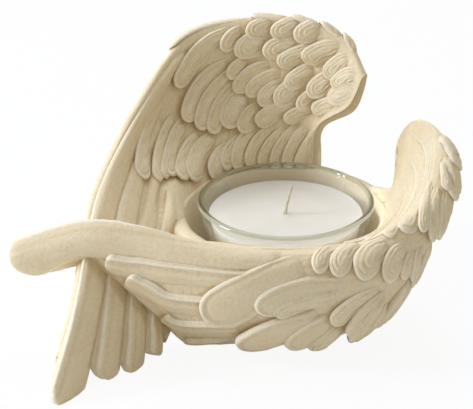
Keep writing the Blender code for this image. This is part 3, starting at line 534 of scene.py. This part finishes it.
def feather(net, path, widths, lift, relief, seed, roll=0.0, bevel=0.0, rings=60, top=44, under=10):
    """One feather on a wing. Its centre is a quadratic curve through root, middle and tip on the surface. Its
    width grows from root to tip and rounds off at the end, and its section is a flat superellipse. It is sunk
    and thinner at the root, and raised at the tip. A negative roll raises its left edge and the bevel slopes
    that side down again. The relief is added to its upper face."""
    width_root, width_tip = widths
    sink, rise, thick = lift
    a = np.sin(np.linspace(0, math.pi / 2, rings)) * LAST_RING
    p0, p1, p2 = (np.array(path[i:i + 2]) for i in (0, 2, 4))
    bend = 2 * p1 - 0.5 * (p0 + p2)
    centre = ((1 - a) ** 2)[:, None] * p0 + (2 * a * (1 - a))[:, None] * bend + (a**2)[:, None] * p2
    turn = np.concatenate([np.arange(top) / top, 1 + np.arange(under) / under]) * math.pi
    across = np.sign(np.cos(turn)) * np.abs(np.cos(turn)) ** SIDE_POWER
    upward = np.sign(np.sin(turn)) * np.abs(np.sin(turn)) ** FACE_POWER
    here, du, dv, normal = wing_frame(net, centre[:, 0], centre[:, 1])
    direction = np.gradient(here, axis=0)
    direction /= np.linalg.norm(direction, axis=1, keepdims=True)
    side = np.cross(normal, direction)
    step = np.einsum("pij,pj->pi", np.linalg.pinv(np.stack([du, dv], -1)), side)
    run = np.concatenate([[0], np.cumsum(np.linalg.norm(np.diff(here, axis=0), axis=1))])
    length = run[-1]
    end = min(TIP_ROUND, TIP_ROUND * width_tip / length)
    tip = np.clip((a - 1 + end) / end, 0, 1)
    rounding = np.sqrt(1 - tip**2)
    neck = np.clip(a / NECK_END, 0, 1)
    full = 0.5 * (width_root + (width_tip - width_root) * a) * (NECK_WIDTH + (1 - NECK_WIDTH) * neck)
    half = full * rounding
    share = (half / half.max())[:, None]
    across_mm = half[:, None] * across
    place = centre[:, None, :] + across_mm[..., None] * step[:, None, :]
    place[..., 0] = np.maximum(place[..., 0], FIRST_PLACE)
    surface, _, _, up = wing_frame(net, place[..., 0], place[..., 1])
    height = (-sink + (sink + rise) * a)[:, None] + roll * across * share
    height = height - bevel * np.clip((-across - BEVEL_START) / (1 - BEVEL_START), 0, 1) ** 1.5 * share
    buried = ROOT_THIN + (1 - ROOT_THIN) * smooth_step(run, 0, min(ROOT_SHARE * length, ROOT_LENGTH))
    height = height + (0.5 * thick * buried * (TIP_THIN + (1 - TIP_THIN) * rounding))[:, None] * upward
    along_mm = np.broadcast_to(run[:, None], across_mm.shape)
    edge = full[:, None] * (1 - np.sqrt((rounding[:, None] * across) ** 2 + (tip**2)[:, None]))
    carved = np.clip(upward, 0, 1) * relief(across_mm, along_mm, edge, full.max(), length)
    height = (height + carved) * (FLAT_SHARE + (1 - FLAT_SHARE) * smooth_step(place[..., 0], 0, FLAT_UNTIL))
    # Painted highlight mark: near the feather's outline and on raised carving
    rim = (upward > -0.5) * bell(edge, 0, HIGHLIGHT_WIDTH) * neck[:, None]
    rim = np.maximum(rim, np.clip((carved - HIGHLIGHT_FROM) / HIGHLIGHT_RANGE, 0, 1))
    # Groove depth, which later sets painted shade in the grooves
    groove = np.clip(-carved / GROOVE_DEPTH, 0, 1)
    marks = np.stack([across_mm, along_mm, np.full(across_mm.shape, float(seed)), rim, groove], -1)
    return skin(surface + up * height[..., None], marks)


def wing_skin(net, per_section, per_side, seed):
    """The wing under its feathers: the whole surface with shallow streaks along it. Both end sections are
    filled straight across from one side to the other, a little rounded out."""
    us = np.linspace(0, net.shape[0] - 1, (net.shape[0] - 1) * per_section + 1)
    vs = np.arange(net.shape[1] * per_side) / per_side
    u, v = np.meshgrid(us, vs, indexing="ij")
    surface, _, _, up = wing_frame(net, u, v)
    streaks = 0.05 * np.sin(v * 11 + 0.6 * np.sin(u * 2.1)) + 0.03 * np.sin(v * 23 + u * 1.3)
    grid = surface + up * streaks[..., None]
    marks = plain_marks(v * 9, u * 12, seed)
    rings, around, _ = grid.shape
    points, all_marks = [grid.reshape(-1, 3)], [marks.reshape(-1, 5)]
    quads, _ = tube_faces(rings, around)
    quads, tris = [quads], []
    total = rings * around
    for ring, inward in ((0, grid[1]), (rings - 1, grid[-2])):
        cap_points, cap_quads, cap_tris = strip_cap(grid[ring], inward, per_side // 2, ring * around, total)
        if ring == 0:
            cap_quads, cap_tris = cap_quads[:, ::-1], cap_tris[:, ::-1]
        points.append(cap_points)
        all_marks.append(np.tile(marks[ring].mean(0), (len(cap_points), 1)))
        quads.append(cap_quads)
        tris.append(cap_tris)
        total += len(cap_points)
    points = np.concatenate(points)
    quads, tris = turned_out(points, np.concatenate(quads), np.concatenate(tris))
    return points, quads, tris, np.concatenate(all_marks)


def strip_cap(ring, inward, turn_back, first, total, across=10, bulge=0.7):
    """The end of a wing. Its ring starts turn_back points early, so that points as far from the start on both
    sides face each other. Each pair is joined by a row of points that swells outwards as a flat arch."""
    around = len(ring)
    order = (np.arange(around) - turn_back) % around
    pairs = np.arange(1, around // 2)
    near, far = order[pairs], order[around - pairs]
    t = np.linspace(0, 1, across + 1)[1:-1]
    arch = (1 - (2 * t - 1) ** 4)[None, :, None]
    out = ring - inward
    out /= np.linalg.norm(out, axis=1, keepdims=True)
    out = (out[near] + out[far]) / 2
    ends = np.minimum(np.linalg.norm(ring[near] - ring[far], axis=1) / 6, 1)[:, None, None]
    rows = ring[near][:, None] * (1 - t)[None, :, None] + ring[far][:, None] * t[None, :, None]
    rows = rows + bulge * arch * ends * out[:, None]
    inner = total + np.arange(len(pairs) * (across - 1)).reshape(len(pairs), across - 1)
    index = np.concatenate([first + near[:, None], inner, first + far[:, None]], 1)
    quads = quads_of(index[:-1, :-1], index[1:, :-1], index[1:, 1:], index[:-1, 1:])
    start = np.full(across, first + order[0])
    end = np.full(across, first + order[around // 2])
    tris = np.concatenate([np.stack([start, index[0, :-1], index[0, 1:]], -1),
                           np.stack([end, index[-1, 1:], index[-1, :-1]], -1)])
    return rows.reshape(-1, 3), quads, tris


def clear_of_well(points):
    """Moves what would stand in the cup's well out behind its wall, or below its floor, and keeps everything
    above the table. The wall is a cone, and deeper points go a little further back."""
    moved = points.copy()
    axis = np.array([WELL_CENTRE_X, 0.0])
    offset = moved[:, :2] - axis
    distance = np.maximum(np.linalg.norm(offset, axis=1), 1e-6)
    wall = WELL_FLOOR_RADIUS + WELL_SLOPE * (moved[:, 2] - WELL_FLOOR)
    depth = wall - distance
    over_floor = moved[:, 2] - WELL_FLOOR
    low = (depth > 0) & (over_floor > -UNDER_FLOOR) & (over_floor < OVER_FLOOR)
    inside = (depth > 0) & (over_floor >= OVER_FLOOR)
    goal = np.where(inside, wall + BEHIND_WALL + DEEPER_SHARE * depth, distance)
    moved[:, :2] = axis + offset * (goal / distance)[:, None]
    moved[low, 2] = WELL_FLOOR - UNDER_FLOOR
    moved[:, 2] = np.maximum(moved[:, 2], 0.0)
    return moved


# Meshes

def joined(skins):
    """Several closed skins as one set of points, quads, triangles and marks."""
    first = np.cumsum([0] + [len(made[0]) for made in skins])
    points, marks = (np.concatenate([made[k] for made in skins]) for k in (0, 3))
    quads, tris = (np.concatenate([made[k] + start for made, start in zip(skins, first)]) for k in (1, 2))
    return points, quads, tris, marks


def store(mesh, name, values):
    """Keeps a value, or a row of three, on each point of a mesh."""
    kind, field = ("FLOAT_VECTOR", "vector") if values.ndim == 2 else ("FLOAT", "value")
    mesh.attributes.new(name, kind, "POINT").data.foreach_set(field, values.astype(np.float32).ravel())


def piece(name, made, look, slot, *nodes):
    """A shown piece: its mesh in metres with smooth faces, its finish and the nodes that it replaces."""
    points, quads, tris, marks = made
    mesh = bpy.data.meshes.new(name)
    mesh.from_pydata((points * MM).tolist(), [], quads.tolist() + tris.tolist())
    mesh.polygons.foreach_set("use_smooth", np.ones(len(mesh.polygons), bool))
    store(mesh, "vane", marks[:, :3])
    mesh.update()
    mesh.materials.append(look)
    obj = placed(name, mesh)
    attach(obj, "root")
    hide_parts(*nodes)
    return obj


def surface_normals(points, quads, tris):
    """The area-weighted normal of each point and its share of the skin's area."""
    flat = as_triangles(quads, tris)
    a, b, c = (points[flat[:, k]] for k in range(3))
    cross = np.cross(b - a, c - a)
    normals = np.zeros_like(points)
    area = np.zeros(len(points))
    for k in range(3):
        np.add.at(normals, flat[:, k], cross / 6)
        np.add.at(area, flat[:, k], np.linalg.norm(cross, axis=1) / 6)
    return normals / np.maximum(np.linalg.norm(normals, axis=1, keepdims=True), 1e-12), area


def hollows(points, normals, area, radius):
    """How much surface stands in a small box just outside each point, per area of a flat patch of that size.
    It is 0 on open ground and 1 or more in a deep crease. The area is summed on a grid, along each axis."""
    reach = 3
    cell = radius / reach
    low = points.min(0) - 4 * radius
    size = np.ceil((points.max(0) + 4 * radius - low) / cell).astype(int)
    index = ((points - low) / cell).astype(int)
    total = np.bincount(np.ravel_multi_index(index.T, size), area, minlength=int(np.prod(size)))
    total = total.reshape(size).astype(np.float32)
    for axis in range(3):
        run = np.cumsum(total, axis=axis)
        total = np.roll(run, -reach, axis=axis) - np.roll(run, reach + 1, axis=axis)
    sample = ((points + normals * radius * 1.5 - low) / cell).astype(int)
    x, y, z = np.clip(sample, 0, size - 1).T
    return np.maximum(total[x, y, z], 0) / (2 * radius) ** 2


# Materials

def new_material(name):
    """A new node material, its tree and its Principled shader."""
    made = bpy.data.materials.new(name)
    made.use_nodes = True
    return made, made.node_tree, made.node_tree.nodes["Principled BSDF"]


def feed(tree, node, inputs):
    """Sets inputs, by their names or numbers, to values or joins them to (node, output) pairs."""
    for socket, given in inputs.items():
        if isinstance(given, tuple) and len(given) == 2:
            tree.links.new(given[0].outputs[given[1]], node.inputs[socket])
        else:
            node.inputs[socket].default_value = given


def add(tree, kind, output, inputs):
    """A new shader node with its inputs, as the (node, output) pair that others are joined to."""
    node = tree.nodes.new("ShaderNode" + kind)
    feed(tree, node, inputs)
    return node, output


def soft_inside(weight, radius, scale):
    """Light that enters a finish and spreads: its share, how far each colour goes and the scale of that."""
    return {"Subsurface Weight": weight, "Subsurface Radius": radius, "Subsurface Scale": scale}


def on_object(tree):
    """Object coordinates."""
    return add(tree, "TexCoord", "Object", {})


def stored(tree, name, output="Fac"):
    """What the mesh keeps on its points under a name."""
    node = tree.nodes.new("ShaderNodeAttribute")
    node.attribute_name = name
    return node, output


def noise(tree, place, scale, detail):
    """Soft noise at a place."""
    return add(tree, "TexNoise", "Fac", {"Vector": place, "Scale": scale, "Detail": detail})


def bumped(tree, height, distance, strength=1.0):
    """The normal of a surface with a height on it, of a distance in metres."""
    return add(tree, "Bump", "Normal", {"Height": height, "Distance": distance, "Strength": strength})


def worked(tree, operation, first, second):
    """Two values put through a Math node."""
    node = tree.nodes.new("ShaderNodeMath")
    node.operation = operation
    feed(tree, node, {0: first, 1: second})
    return node, "Value"


def mixed(tree, factor, first, second, kind="MIX"):
    """Two colours in a colour Mix node, whose first output for colours is number 2."""
    node = tree.nodes.new("ShaderNodeMix")
    node.data_type = "RGBA"
    node.blend_type = kind
    feed(tree, node, {0: factor, 6: first, 7: second})
    return node, 2


def blended(tree, factor, first, second):
    """Two shaders in a Mix Shader node."""
    return add(tree, "MixShader", "Shader", {"Fac": factor, 1: first, 2: second})


def ramp(tree, value, *stops):
    """A value turned through a linear row of (place, grey) stops."""
    node = tree.nodes.new("ShaderNodeValToRGB")
    for element, (place, grey) in zip(node.color_ramp.elements, stops):
        element.position = place
        element.color = (grey, grey, grey, 1.0)
    feed(tree, node, {"Fac": value})
    return node, "Color"


def grain_group():
    """Fine cast grain that several finishes share: soft pits on Object coordinates, as value and normal."""
    group = bpy.data.node_groups.new("fine_grain", "ShaderNodeTree")
    for name, kind in (("Scale", "Float"), ("Depth", "Float"), ("Normal", "Vector")):
        group.interface.new_socket(name, in_out="INPUT", socket_type="NodeSocket" + kind)
    for name, kind in (("Value", "Float"), ("Normal", "Vector")):
        group.interface.new_socket(name, in_out="OUTPUT", socket_type="NodeSocket" + kind)
    inside = group.nodes.new("NodeGroupInput")
    pits = noise(group, on_object(group), (inside, "Scale"), 5.0)
    feed(group, pits[0], {"Roughness": 0.6})
    normal = bumped(group, pits, (inside, "Depth"))
    feed(group, normal[0], {"Normal": (inside, "Normal")})
    feed(group, group.nodes.new("NodeGroupOutput"), {"Value": pits, "Normal": normal})
    return group


def grained(tree, grain, scale, depth):
    """The grain group placed in a material with its own size and depth: its node, value and normal."""
    node = tree.nodes.new("ShaderNodeGroup")
    node.node_tree = grain
    feed(tree, node, {"Scale": scale, "Depth": depth})
    return node, (node, "Value"), (node, "Normal")


def cast_resin(grain):
    """Matte cream casting resin, faintly mottled, with fine streaks along each feather and soft cast grain.
    Painted shade makes it warmer and darker in the creases and grooves, and a painted highlight makes it
    paler on the feathers' edges and raised ridges."""
    made, tree, shader = new_material("cream_cast_resin")
    mottle = ramp(tree, noise(tree, on_object(tree), 130.0, 4.0), (0.35, 0.0), (0.65, 1.0))
    body = mixed(tree, mottle, RESIN_WARM, RESIN_PALE)
    # Painted shade: the colour turns darker and warmer in creases and grooves, by the measure kept on the
    # mesh
    crease = ramp(tree, stored(tree, "hollow"), (0.25, 0.0), (1.0, 0.85))
    shaded = mixed(tree, crease, body, RESIN_PAINTED_SHADE)
    # Painted highlight: the colour turns paler on the feathers' edges and raised ridges
    edge_highlight = ramp(tree, stored(tree, "edge"), (0.0, 0.0), (1.0, 0.75))
    highlighted = mixed(tree, edge_highlight, shaded, RESIN_PAINTED_HIGHLIGHT)
    vane = stored(tree, "vane", "Vector")
    barbs = add(tree, "Mapping", "Vector", {"Vector": vane, "Scale": (1.2, 0.7, 3.7)})
    streak = bumped(tree, noise(tree, barbs, 1.0, 3.0), 0.000015, 0.75)
    pits, pit_value, pit_normal = grained(tree, grain, 900.0, 0.00024)
    feed(tree, pits, {"Normal": streak})
    speck = ramp(tree, pit_value, (0.32, 0.91), (0.62, 1.0))
    feed(tree, shader, {
        "Base Color": mixed(tree, 1.0, highlighted, speck, "MULTIPLY"),
        "Normal": pit_normal,
        "Roughness": ramp(tree, pit_value, (0.3, 0.50), (0.7, 0.66)),
        "Specular IOR Level": 0.35,
        **soft_inside(0.12, (1.0, 0.7, 0.4), 0.0015),
    })
    return made


def clear_glass():
    """Clear pressed glass: the thin wall is almost clear, with a faint pale haze that is a painted reflection
    of the bright surroundings, and the rounded rim shows the glass's green. Light for shadows passes straight
    through, as thin glass lets it."""
    made, tree, shader = new_material("clear_cup_glass")
    place = on_object(tree)
    rim = add(tree, "MapRange", "Result", {
        "Value": add(tree, "SeparateXYZ", "Z", {"Vector": place}),
        "From Min": (CUP_RIM_Z - RIM_TINT_START) * MM,
        "From Max": (CUP_RIM_Z - RIM_TINT_FULL) * MM,
    })
    feed(tree, shader, {
        "Base Color": mixed(tree, rim, GLASS_WALL, GLASS_RIM),
        "Normal": bumped(tree, noise(tree, place, 45.0, 1.0), 0.0004, 0.25),
        "Roughness": 0.01,
        "IOR": 1.50,
        "Transmission Weight": 1.0,
    })
    light = tree.nodes.new("ShaderNodeLightPath")
    late = worked(tree, "GREATER_THAN", (light, "Ray Depth"), 4.5)
    straight = worked(tree, "MAXIMUM", (light, "Is Shadow Ray"), late)
    unhazed = worked(tree, "MAXIMUM", straight, rim)
    # Painted reflection: a pale diffuse haze on the wall, left off the rim and for shadow rays
    haze = add(tree, "MapRange", "Result", {"Value": unhazed, "To Min": REFLECTION_HAZE, "To Max": 0.0})
    clear = add(tree, "BsdfTransparent", "BSDF", {"Color": GLASS_CLEAR})
    painted_reflection = add(tree, "BsdfDiffuse", "BSDF", {"Color": REFLECTION_HAZE_COLOUR})
    share = add(tree, "MapRange", "Result", {"Value": rim, "To Min": CLEAR_SHARE, "To Max": CLEAR_RIM_SHARE})
    unbent = worked(tree, "MAXIMUM", straight, share)
    whole = blended(tree, unbent, (shader, "BSDF"), blended(tree, haze, clear, painted_reflection))
    feed(tree, tree.nodes["Material Output"], {"Surface": whole})
    return made


def white_wax(grain):
    """Soft white wax, lit through from inside, with a faintly uneven gloss."""
    made, tree, shader = new_material("soft_white_wax")
    _, value, normal = grained(tree, grain, 500.0, 0.00008)
    feed(tree, shader, {
        "Base Color": mixed(tree, noise(tree, on_object(tree), 90.0, 3.0), WAX_WARM, WAX_PALE),
        "Normal": normal,
        "Roughness": ramp(tree, value, (0.3, 0.38), (0.7, 0.52)),
        **soft_inside(0.6, (1.0, 0.85, 0.7), 0.004),
        "IOR": 1.44,
    })
    return made


def waxed_cotton():
    """Pale waxed cotton: plaited strands wind round the wick."""
    made, tree, shader = new_material("waxed_cotton_wick")
    wave = tree.nodes.new("ShaderNodeTexWave")
    wave.bands_direction = "DIAGONAL"
    feed(tree, wave, {"Vector": stored(tree, "vane", "Vector"), "Scale": 0.9, "Distortion": 1.2})
    strands = (wave, "Fac")
    feed(tree, shader, {
        "Base Color": mixed(tree, strands, COTTON_WARM, COTTON_PALE),
        "Normal": bumped(tree, strands, 0.0002),
        "Roughness": 0.7,
        **soft_inside(0.4, (1.0, 0.9, 0.75), 0.001),
    })
    return made


def thin_metal(grain):
    """Bright thin metal of the sustainer, lightly scuffed."""
    made, tree, shader = new_material("sustainer_tin")
    _, value, normal = grained(tree, grain, 2500.0, 0.00002)
    feed(tree, shader, {
        "Base Color": mixed(tree, value, TIN_DARK, TIN_BRIGHT),
        "Normal": normal,
        "Roughness": ramp(tree, value, (0.3, 0.25), (0.7, 0.45)),
        "Metallic": 1.0,
    })
    return made


# Wings

def all_castings():
    """Every closed skin of the casting, as named groups in millimetres."""
    back, front = np.array(BACK_WING, float), np.array(FRONT_WING, float)
    groups = {
        "back_wing_body": [wing_skin(back, 36, 14, 1)],
        "front_wing_body": [wing_skin(front, 26, 16, 2)],
        "bowl": [bowl_skin()],
    }

    def lay(group, net, path, widths, lift, relief, **more):
        made = groups.setdefault(group, [])
        seed = 10 + sum(len(skins) for skins in groups.values())
        made.append(feather(net, path, widths, lift, relief, seed, **more))

    def grown(width, shares):
        return shares[0] * width, shares[1] * width

    for row in BACK_PRIMARIES:
        lay("back_wing_primaries", back, row[:6], row[6:], FAN_LIFT, crested_vane, roll=-1.5, bevel=2.4,
            **LONG_MESH)
    for k, row in enumerate(BACK_COVERTS):
        home = "back_wing_upper_coverts" if k < len(BACK_COVERTS) // 2 else "back_wing_lower_coverts"
        lay(home, back, row[:6], grown(row[6], BACK_WIDTHS), COVERT_LIFT, nested_ridges, roll=-0.6)
    for k, row in enumerate(FRONT_PRIMARIES):
        lift = LEADING_LIFT if k == 0 else TUCKED_LIFT
        lay("front_wing_primaries", front, row[:6], row[6:], lift, crested_vane, roll=-0.5, **LONG_MESH)
    for row in FRONT_COVERTS:
        low = min(1.0, max(0.0, (row[5] - HEM_START) / 0.6))
        lift = (COVERT_LIFT[0], COVERT_LIFT[1] + HEM_RISE * low, COVERT_LIFT[2] + HEM_THICK * low)
        relief = rimmed_streaks if row[6] > BROAD_COVERT else nested_ridges
        lay("front_wing_coverts", front, row[:6], grown(row[6], FRONT_WIDTHS), lift, relief, roll=-0.2)
    for row in CREST_FEATHERS:
        lay("back_wing_crest", back, row[:6], row[6:], CREST_LIFT, nested_ridges)
    for v, width, length, count in BACK_REAR_ROWS:
        for k in range(count):
            u = 0.15 + k * BACK_REAR_STEP + 0.2 * (9 - v)
            path = (u, v, u + 0.5 * length, v - 0.14, u + length, v - 0.38)
            lay("back_wing_rear_coverts", back, path, grown(width, ROW_WIDTHS), COVERT_LIFT, nested_ridges)
    for v, width in BACK_REAR_LONG:
        path = (5.0, v, 7.2, v, 9.4, v)
        widths = grown(width, ROW_WIDTHS)
        lay("back_wing_rear_primaries", back, path, widths, LEADING_LIFT, long_streaks, **REAR_MESH)
    for v, width, count in SHOULDER_ROWS:
        for k in range(count):
            u = 0.25 + k * SHOULDER_STEP + 0.15 * v
            path = (u, v, u + 0.4, v + 0.2, u + 0.7, v + 0.5)
            widths = grown(width, ROW_WIDTHS)
            lay("front_wing_shoulder_coverts", front, path, widths, COVERT_LIFT, nested_ridges)
    for lift, width, rows in ((RIB_LIFT, 4.0, INNER_RIBS), (FINE_RIB_LIFT, 2.2, FINE_RIBS)):
        for v, start in rows:
            path = (start, v + 0.1, start + 1.9, v, start + 3.9, v - 0.15)
            lay("front_wing_inner_ribs", front, path, (width, 1.25 * width), lift, long_streaks, **RIB_MESH)
    for row in RIDGE_FEATHERS:
        widths = grown(row[6], FRONT_WIDTHS)
        lay("front_wing_ridge_feathers", front, row[:6], widths, RIDGE_LIFT, nested_ridges)
    return groups


def bowl_skin():
    """The bowl: its outer side, a rounded lip, the well's cone wall and floor, and the shallow recess that
    keeps the cup in its place."""
    lip = WELL_FLOOR_RADIUS + WELL_SLOPE * (BOWL_LIP - WELL_FLOOR)
    recess = CUP_BASE_RADIUS + FIT
    recess_floor = WELL_FLOOR - WELL_RECESS
    inside = [
        (lip + 0.6, BOWL_LIP + 0.5), (lip, BOWL_LIP - 0.3), (WELL_FLOOR_RADIUS + 0.05, WELL_FLOOR + 0.6),
        (WELL_FLOOR_RADIUS - 0.5, WELL_FLOOR), (recess + 0.3, WELL_FLOOR), (recess, WELL_FLOOR - 0.3),
        (recess, recess_floor), (0.5, recess_floor),
    ]
    return turned_profile(BOWL_OUTSIDE + inside, 200, WELL_CENTRE_X)


def whole_turn(count):
    """The angles of a full turn in equal steps."""
    return np.arange(count) * 2 * math.pi / count


def turned_profile(profile, segments, centre_x=0.0):
    """A profile of radius and height turned round the upright axis, closed on the axis at both ends."""
    rows = np.array(profile, float)
    turn = whole_turn(segments)
    r, z = rows[:, :1], rows[:, 1:]
    grid = np.stack([centre_x + r * np.cos(turn), r * np.sin(turn), z + 0 * turn], -1)
    poles = [(centre_x, 0, rows[0, 1]), (centre_x, 0, rows[-1, 1])]
    return skin(grid, plain_marks(r * turn, z), poles)


def ring_profile(profile, segments):
    """A closed profile that stays off the axis, turned round it."""
    r, z = np.array(profile, float).T[:, None, :]
    turn = whole_turn(segments)[:, None]
    points = np.stack([r * np.cos(turn), r * np.sin(turn), z + 0 * turn], -1).reshape(-1, 3)
    count = len(profile)
    i, j = np.meshgrid(np.arange(segments), np.arange(count), indexing="ij")
    i_next, j_next = (i + 1) % segments, (j + 1) % count
    quads = quads_of(i * count + j, i_next * count + j, i_next * count + j_next, i * count + j_next)
    quads, tris = turned_out(points, quads, np.zeros((0, 3), int))
    return points, quads, tris, plain_marks(r * turn, z).reshape(-1, 5)


def cup_outside(z):
    """Outer radius of the glass cup at a height."""
    return CUP_BASE_RADIUS + (CUP_RIM_RADIUS - CUP_BASE_RADIUS) * (z - CUP_BASE_Z) / (CUP_RIM_Z - CUP_BASE_Z)


def cup_line(inset, start, end):
    """Points of a straight line inside the cup's taper, between two heights."""
    return [(cup_outside(z) - inset, z) for z in np.linspace(start, end, 10)]


def arc(radius, height, size, start, end, count):
    """Points of an arc in a profile, from its centre, its own radius and its first and last angle."""
    turns = np.linspace(start, end, count)
    return [(radius + size * math.cos(t), height + size * math.sin(t)) for t in turns]


def glass_skin():
    """The cup: a rounded foot, a straight tapered wall, a half-round rim and the inside down to its floor."""
    inside_z = CUP_BASE_Z + CUP_FLOOR
    round_rim = CUP_WALL / 2
    down = -math.pi / 2
    foot = arc(CUP_BASE_RADIUS - CUP_ROUND, CUP_BASE_Z + CUP_ROUND, CUP_ROUND, down, down + 1.35, 8)
    wall = cup_line(0, CUP_BASE_Z + CUP_STRAIGHT, CUP_RIM_Z - CUP_ROUND)
    rim = arc(CUP_RIM_RADIUS - round_rim, CUP_RIM_Z - round_rim, round_rim, 0, math.pi, 15)
    inner = cup_line(CUP_WALL, CUP_RIM_Z - CUP_ROUND, inside_z + 2.4)
    heel = arc(CUP_BASE_RADIUS - CUP_WALL - 1.4, inside_z + CUP_ROUND, CUP_ROUND, -0.25, down, 7)
    profile = [(0.5, CUP_BASE_Z)] + foot + wall + rim + inner + heel + [(0.5, inside_z)]
    return turned_profile(profile, 192)


def wax_skin():
    """The wax: it follows the cup's inside and dips a little between the glass and the wick. It leaves a bore
    for the wick and a pocket for its sustainer."""
    bottom = CUP_BASE_Z + CUP_FLOOR + FIT
    bore = WICK_RADIUS + FIT
    pocket = SUSTAINER_RADIUS + FIT
    pocket_top = bottom + SUSTAINER_DISC + FIT
    neck = bore + SUSTAINER_NECK_WALL + FIT
    neck_top = bottom + SUSTAINER_NECK + FIT
    side = cup_line(CUP_WALL + TAPER_GROWTH * FIT, bottom + CUP_STRAIGHT, WAX_TOP_Z - 0.15)
    rim = side[-1][0]
    across = np.linspace(rim - 0.25, bore, 36)
    climb = WAX_CLIMB * np.exp(-(rim - across) / 0.9) + WAX_DIP * np.exp(-(across - bore) / 1.6)
    top = list(zip(across, WAX_TOP_Z - WAX_DIP + climb))
    profile = [(pocket, bottom), (CUP_BASE_RADIUS - CUP_WALL - 2.4, bottom)] + side + top
    profile += [(bore, neck_top), (neck, neck_top), (neck, pocket_top), (pocket, pocket_top)]
    points, quads, tris, marks = ring_profile(profile, 160)
    upper = points[:, 2] > WAX_TOP_Z - 1.5
    ripple = WAX_RIPPLE * np.sin(points[:, 0] * 0.41 + 1.0) * np.sin(points[:, 1] * 0.37)
    points[:, 2] += upper * ripple
    return points, quads, tris, marks


def wick_skin():
    """The wick: three plaited strands that run straight up through the wax and lean a little above it."""
    free = WAX_TOP_Z + 0.4
    z = np.linspace(CUP_BASE_Z + CUP_FLOOR + FIT, WICK_TOP_Z, 110)[:, None]
    lean = np.clip((z - free) / (WICK_TOP_Z - free), 0, 1) ** 1.3
    turn = whole_turn(30)
    radius = WICK_RADIUS * (1 - STRAND_DEPTH + STRAND_DEPTH * np.cos(WICK_STRANDS * turn - z * WICK_TWIST))
    x = WICK_LEAN[0] * lean + radius * np.cos(turn)
    y = WICK_LEAN[1] * lean + radius * np.sin(turn)
    return skin(np.stack([x, y, z + 0 * turn], -1), plain_marks(WICK_RADIUS * turn, z))


def make_wings(look):
    """All pieces of the casting, with the creases between them measured over the whole of it for the painted
    shade in them.
    """
    names, made, in_well = [], [], []
    for name, skins in all_castings().items():
        points, quads, tris, marks = joined(skins)
        kept = points if name == "bowl" else clear_of_well(points)
        names.append(name)
        made.append((kept, quads, tris, marks))
        in_well.append((np.abs(kept - points).max(1) > 0.001) | (name == "bowl"))
    points, quads, tris, marks = joined(made)
    normals, area = surface_normals(points, quads, tris)
    creases = hollows(points, normals, area, FINE_REACH) + hollows(points, normals, area, BROAD_REACH)
    # Painted shade: measured creases and carved grooves darken the colour, less on the well's wall
    hollow = np.clip(REACH_SHARE * creases + GROOVE_SHARE * marks[:, 4], 0, 1)
    hollow = hollow * np.where(np.concatenate(in_well), WELL_CREASE, 1.0)
    parts = np.split(hollow, np.cumsum([len(skin_made[0]) for skin_made in made])[:-1])
    for name, skin_made, part in zip(names, made, parts):
        obj = piece(name, skin_made, look, "cast_resin", "wings")
        # The painted-shade measure of each point
        store(obj.data, "hollow", part)
        # The painted-highlight mark of each point, near a feather's rim or on raised carving
        store(obj.data, "edge", skin_made[3][:, 3])


# Stage

def seen_plainly(tree):
    """1 for rays of the camera, of a reflection or through glass, which all show the background plainly."""
    light = tree.nodes.new("ShaderNodeLightPath")
    direct = worked(tree, "MAXIMUM", (light, "Is Camera Ray"), (light, "Is Transmission Ray"))
    return worked(tree, "MAXIMUM", direct, (light, "Is Glossy Ray"))


def make_floor():
    """A plain pale floor that shows white to the camera and keeps a soft shadow."""
    mesh = bpy.data.meshes.new("floor")
    reach = FLOOR_REACH
    corners = [(-reach, -reach, 0), (reach, -reach, 0), (reach, reach, 0), (-reach, reach, 0)]
    mesh.from_pydata(corners, [], [(0, 1, 2, 3)])
    floor = placed("floor", mesh)
    made, tree, shader = new_material("pale_floor")
    feed(tree, shader, {"Base Color": FLOOR_COLOUR, "Roughness": 0.9, "Specular IOR Level": 0.1})
    share = worked(tree, "MULTIPLY", seen_plainly(tree), FLOOR_WHITE)
    white = add(tree, "Emission", "Emission", {"Color": (1, 1, 1, 1)})
    feed(tree, tree.nodes["Material Output"], {"Surface": blended(tree, share, (shader, "BSDF"), white)})
    mesh.materials.append(made)


def make_surround():
    """A pale surround, whose light on the holder is weaker and warmer than what is seen of it."""
    world = bpy.data.worlds.new("white_surround")
    bpy.context.scene.world = world
    world.use_nodes = True
    tree = world.node_tree
    level = tree.nodes["Background"]
    feed(tree, level, {"Color": SURROUND_COLOUR, "Strength": SURROUND_LEVEL})
    shown = add(tree, "Background", "Background", {"Strength": 1.0})
    blend = blended(tree, seen_plainly(tree), (level, "Background"), shown)
    feed(tree, tree.nodes["World Output"], {"Surface": blend})


def lamp(name, place, size, power):
    """A square soft box at a place, turned towards the holder."""
    light = bpy.data.lights.new(name, "AREA")
    light.size = size
    light.color = LAMP_COLOUR
    light.energy = power
    obj = placed(name, light)
    obj.location = place
    x, y, z = np.array(LAMP_AIM, float) - np.array(place, float)
    obj.rotation_euler = (math.atan2(math.hypot(x, y), -z), 0.0, math.atan2(y, x) - math.pi / 2)


def make_all():
    """Camera, stage and every piece of the holder."""
    make_camera()
    make_floor()
    make_surround()
    lamp("left_soft_box", (-0.80, -0.05, 0.38), 0.22, 5.3)
    lamp("top_soft_box", (-0.05, 0.35, 0.90), 0.5, 3.5)
    grain = grain_group()
    make_wings(cast_resin(grain))
    piece("cup", glass_skin(), clear_glass(), "glass", "glass_cup")
    piece("wax_filling", wax_skin(), white_wax(grain), "wax", "candle_wax")
    piece("plaited_wick", wick_skin(), waxed_cotton(), "wick_cotton", "wick")
    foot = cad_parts["wick_sustainer"]
    foot.data.materials.clear()
    foot.data.materials.append(thin_metal(grain))


make_all()
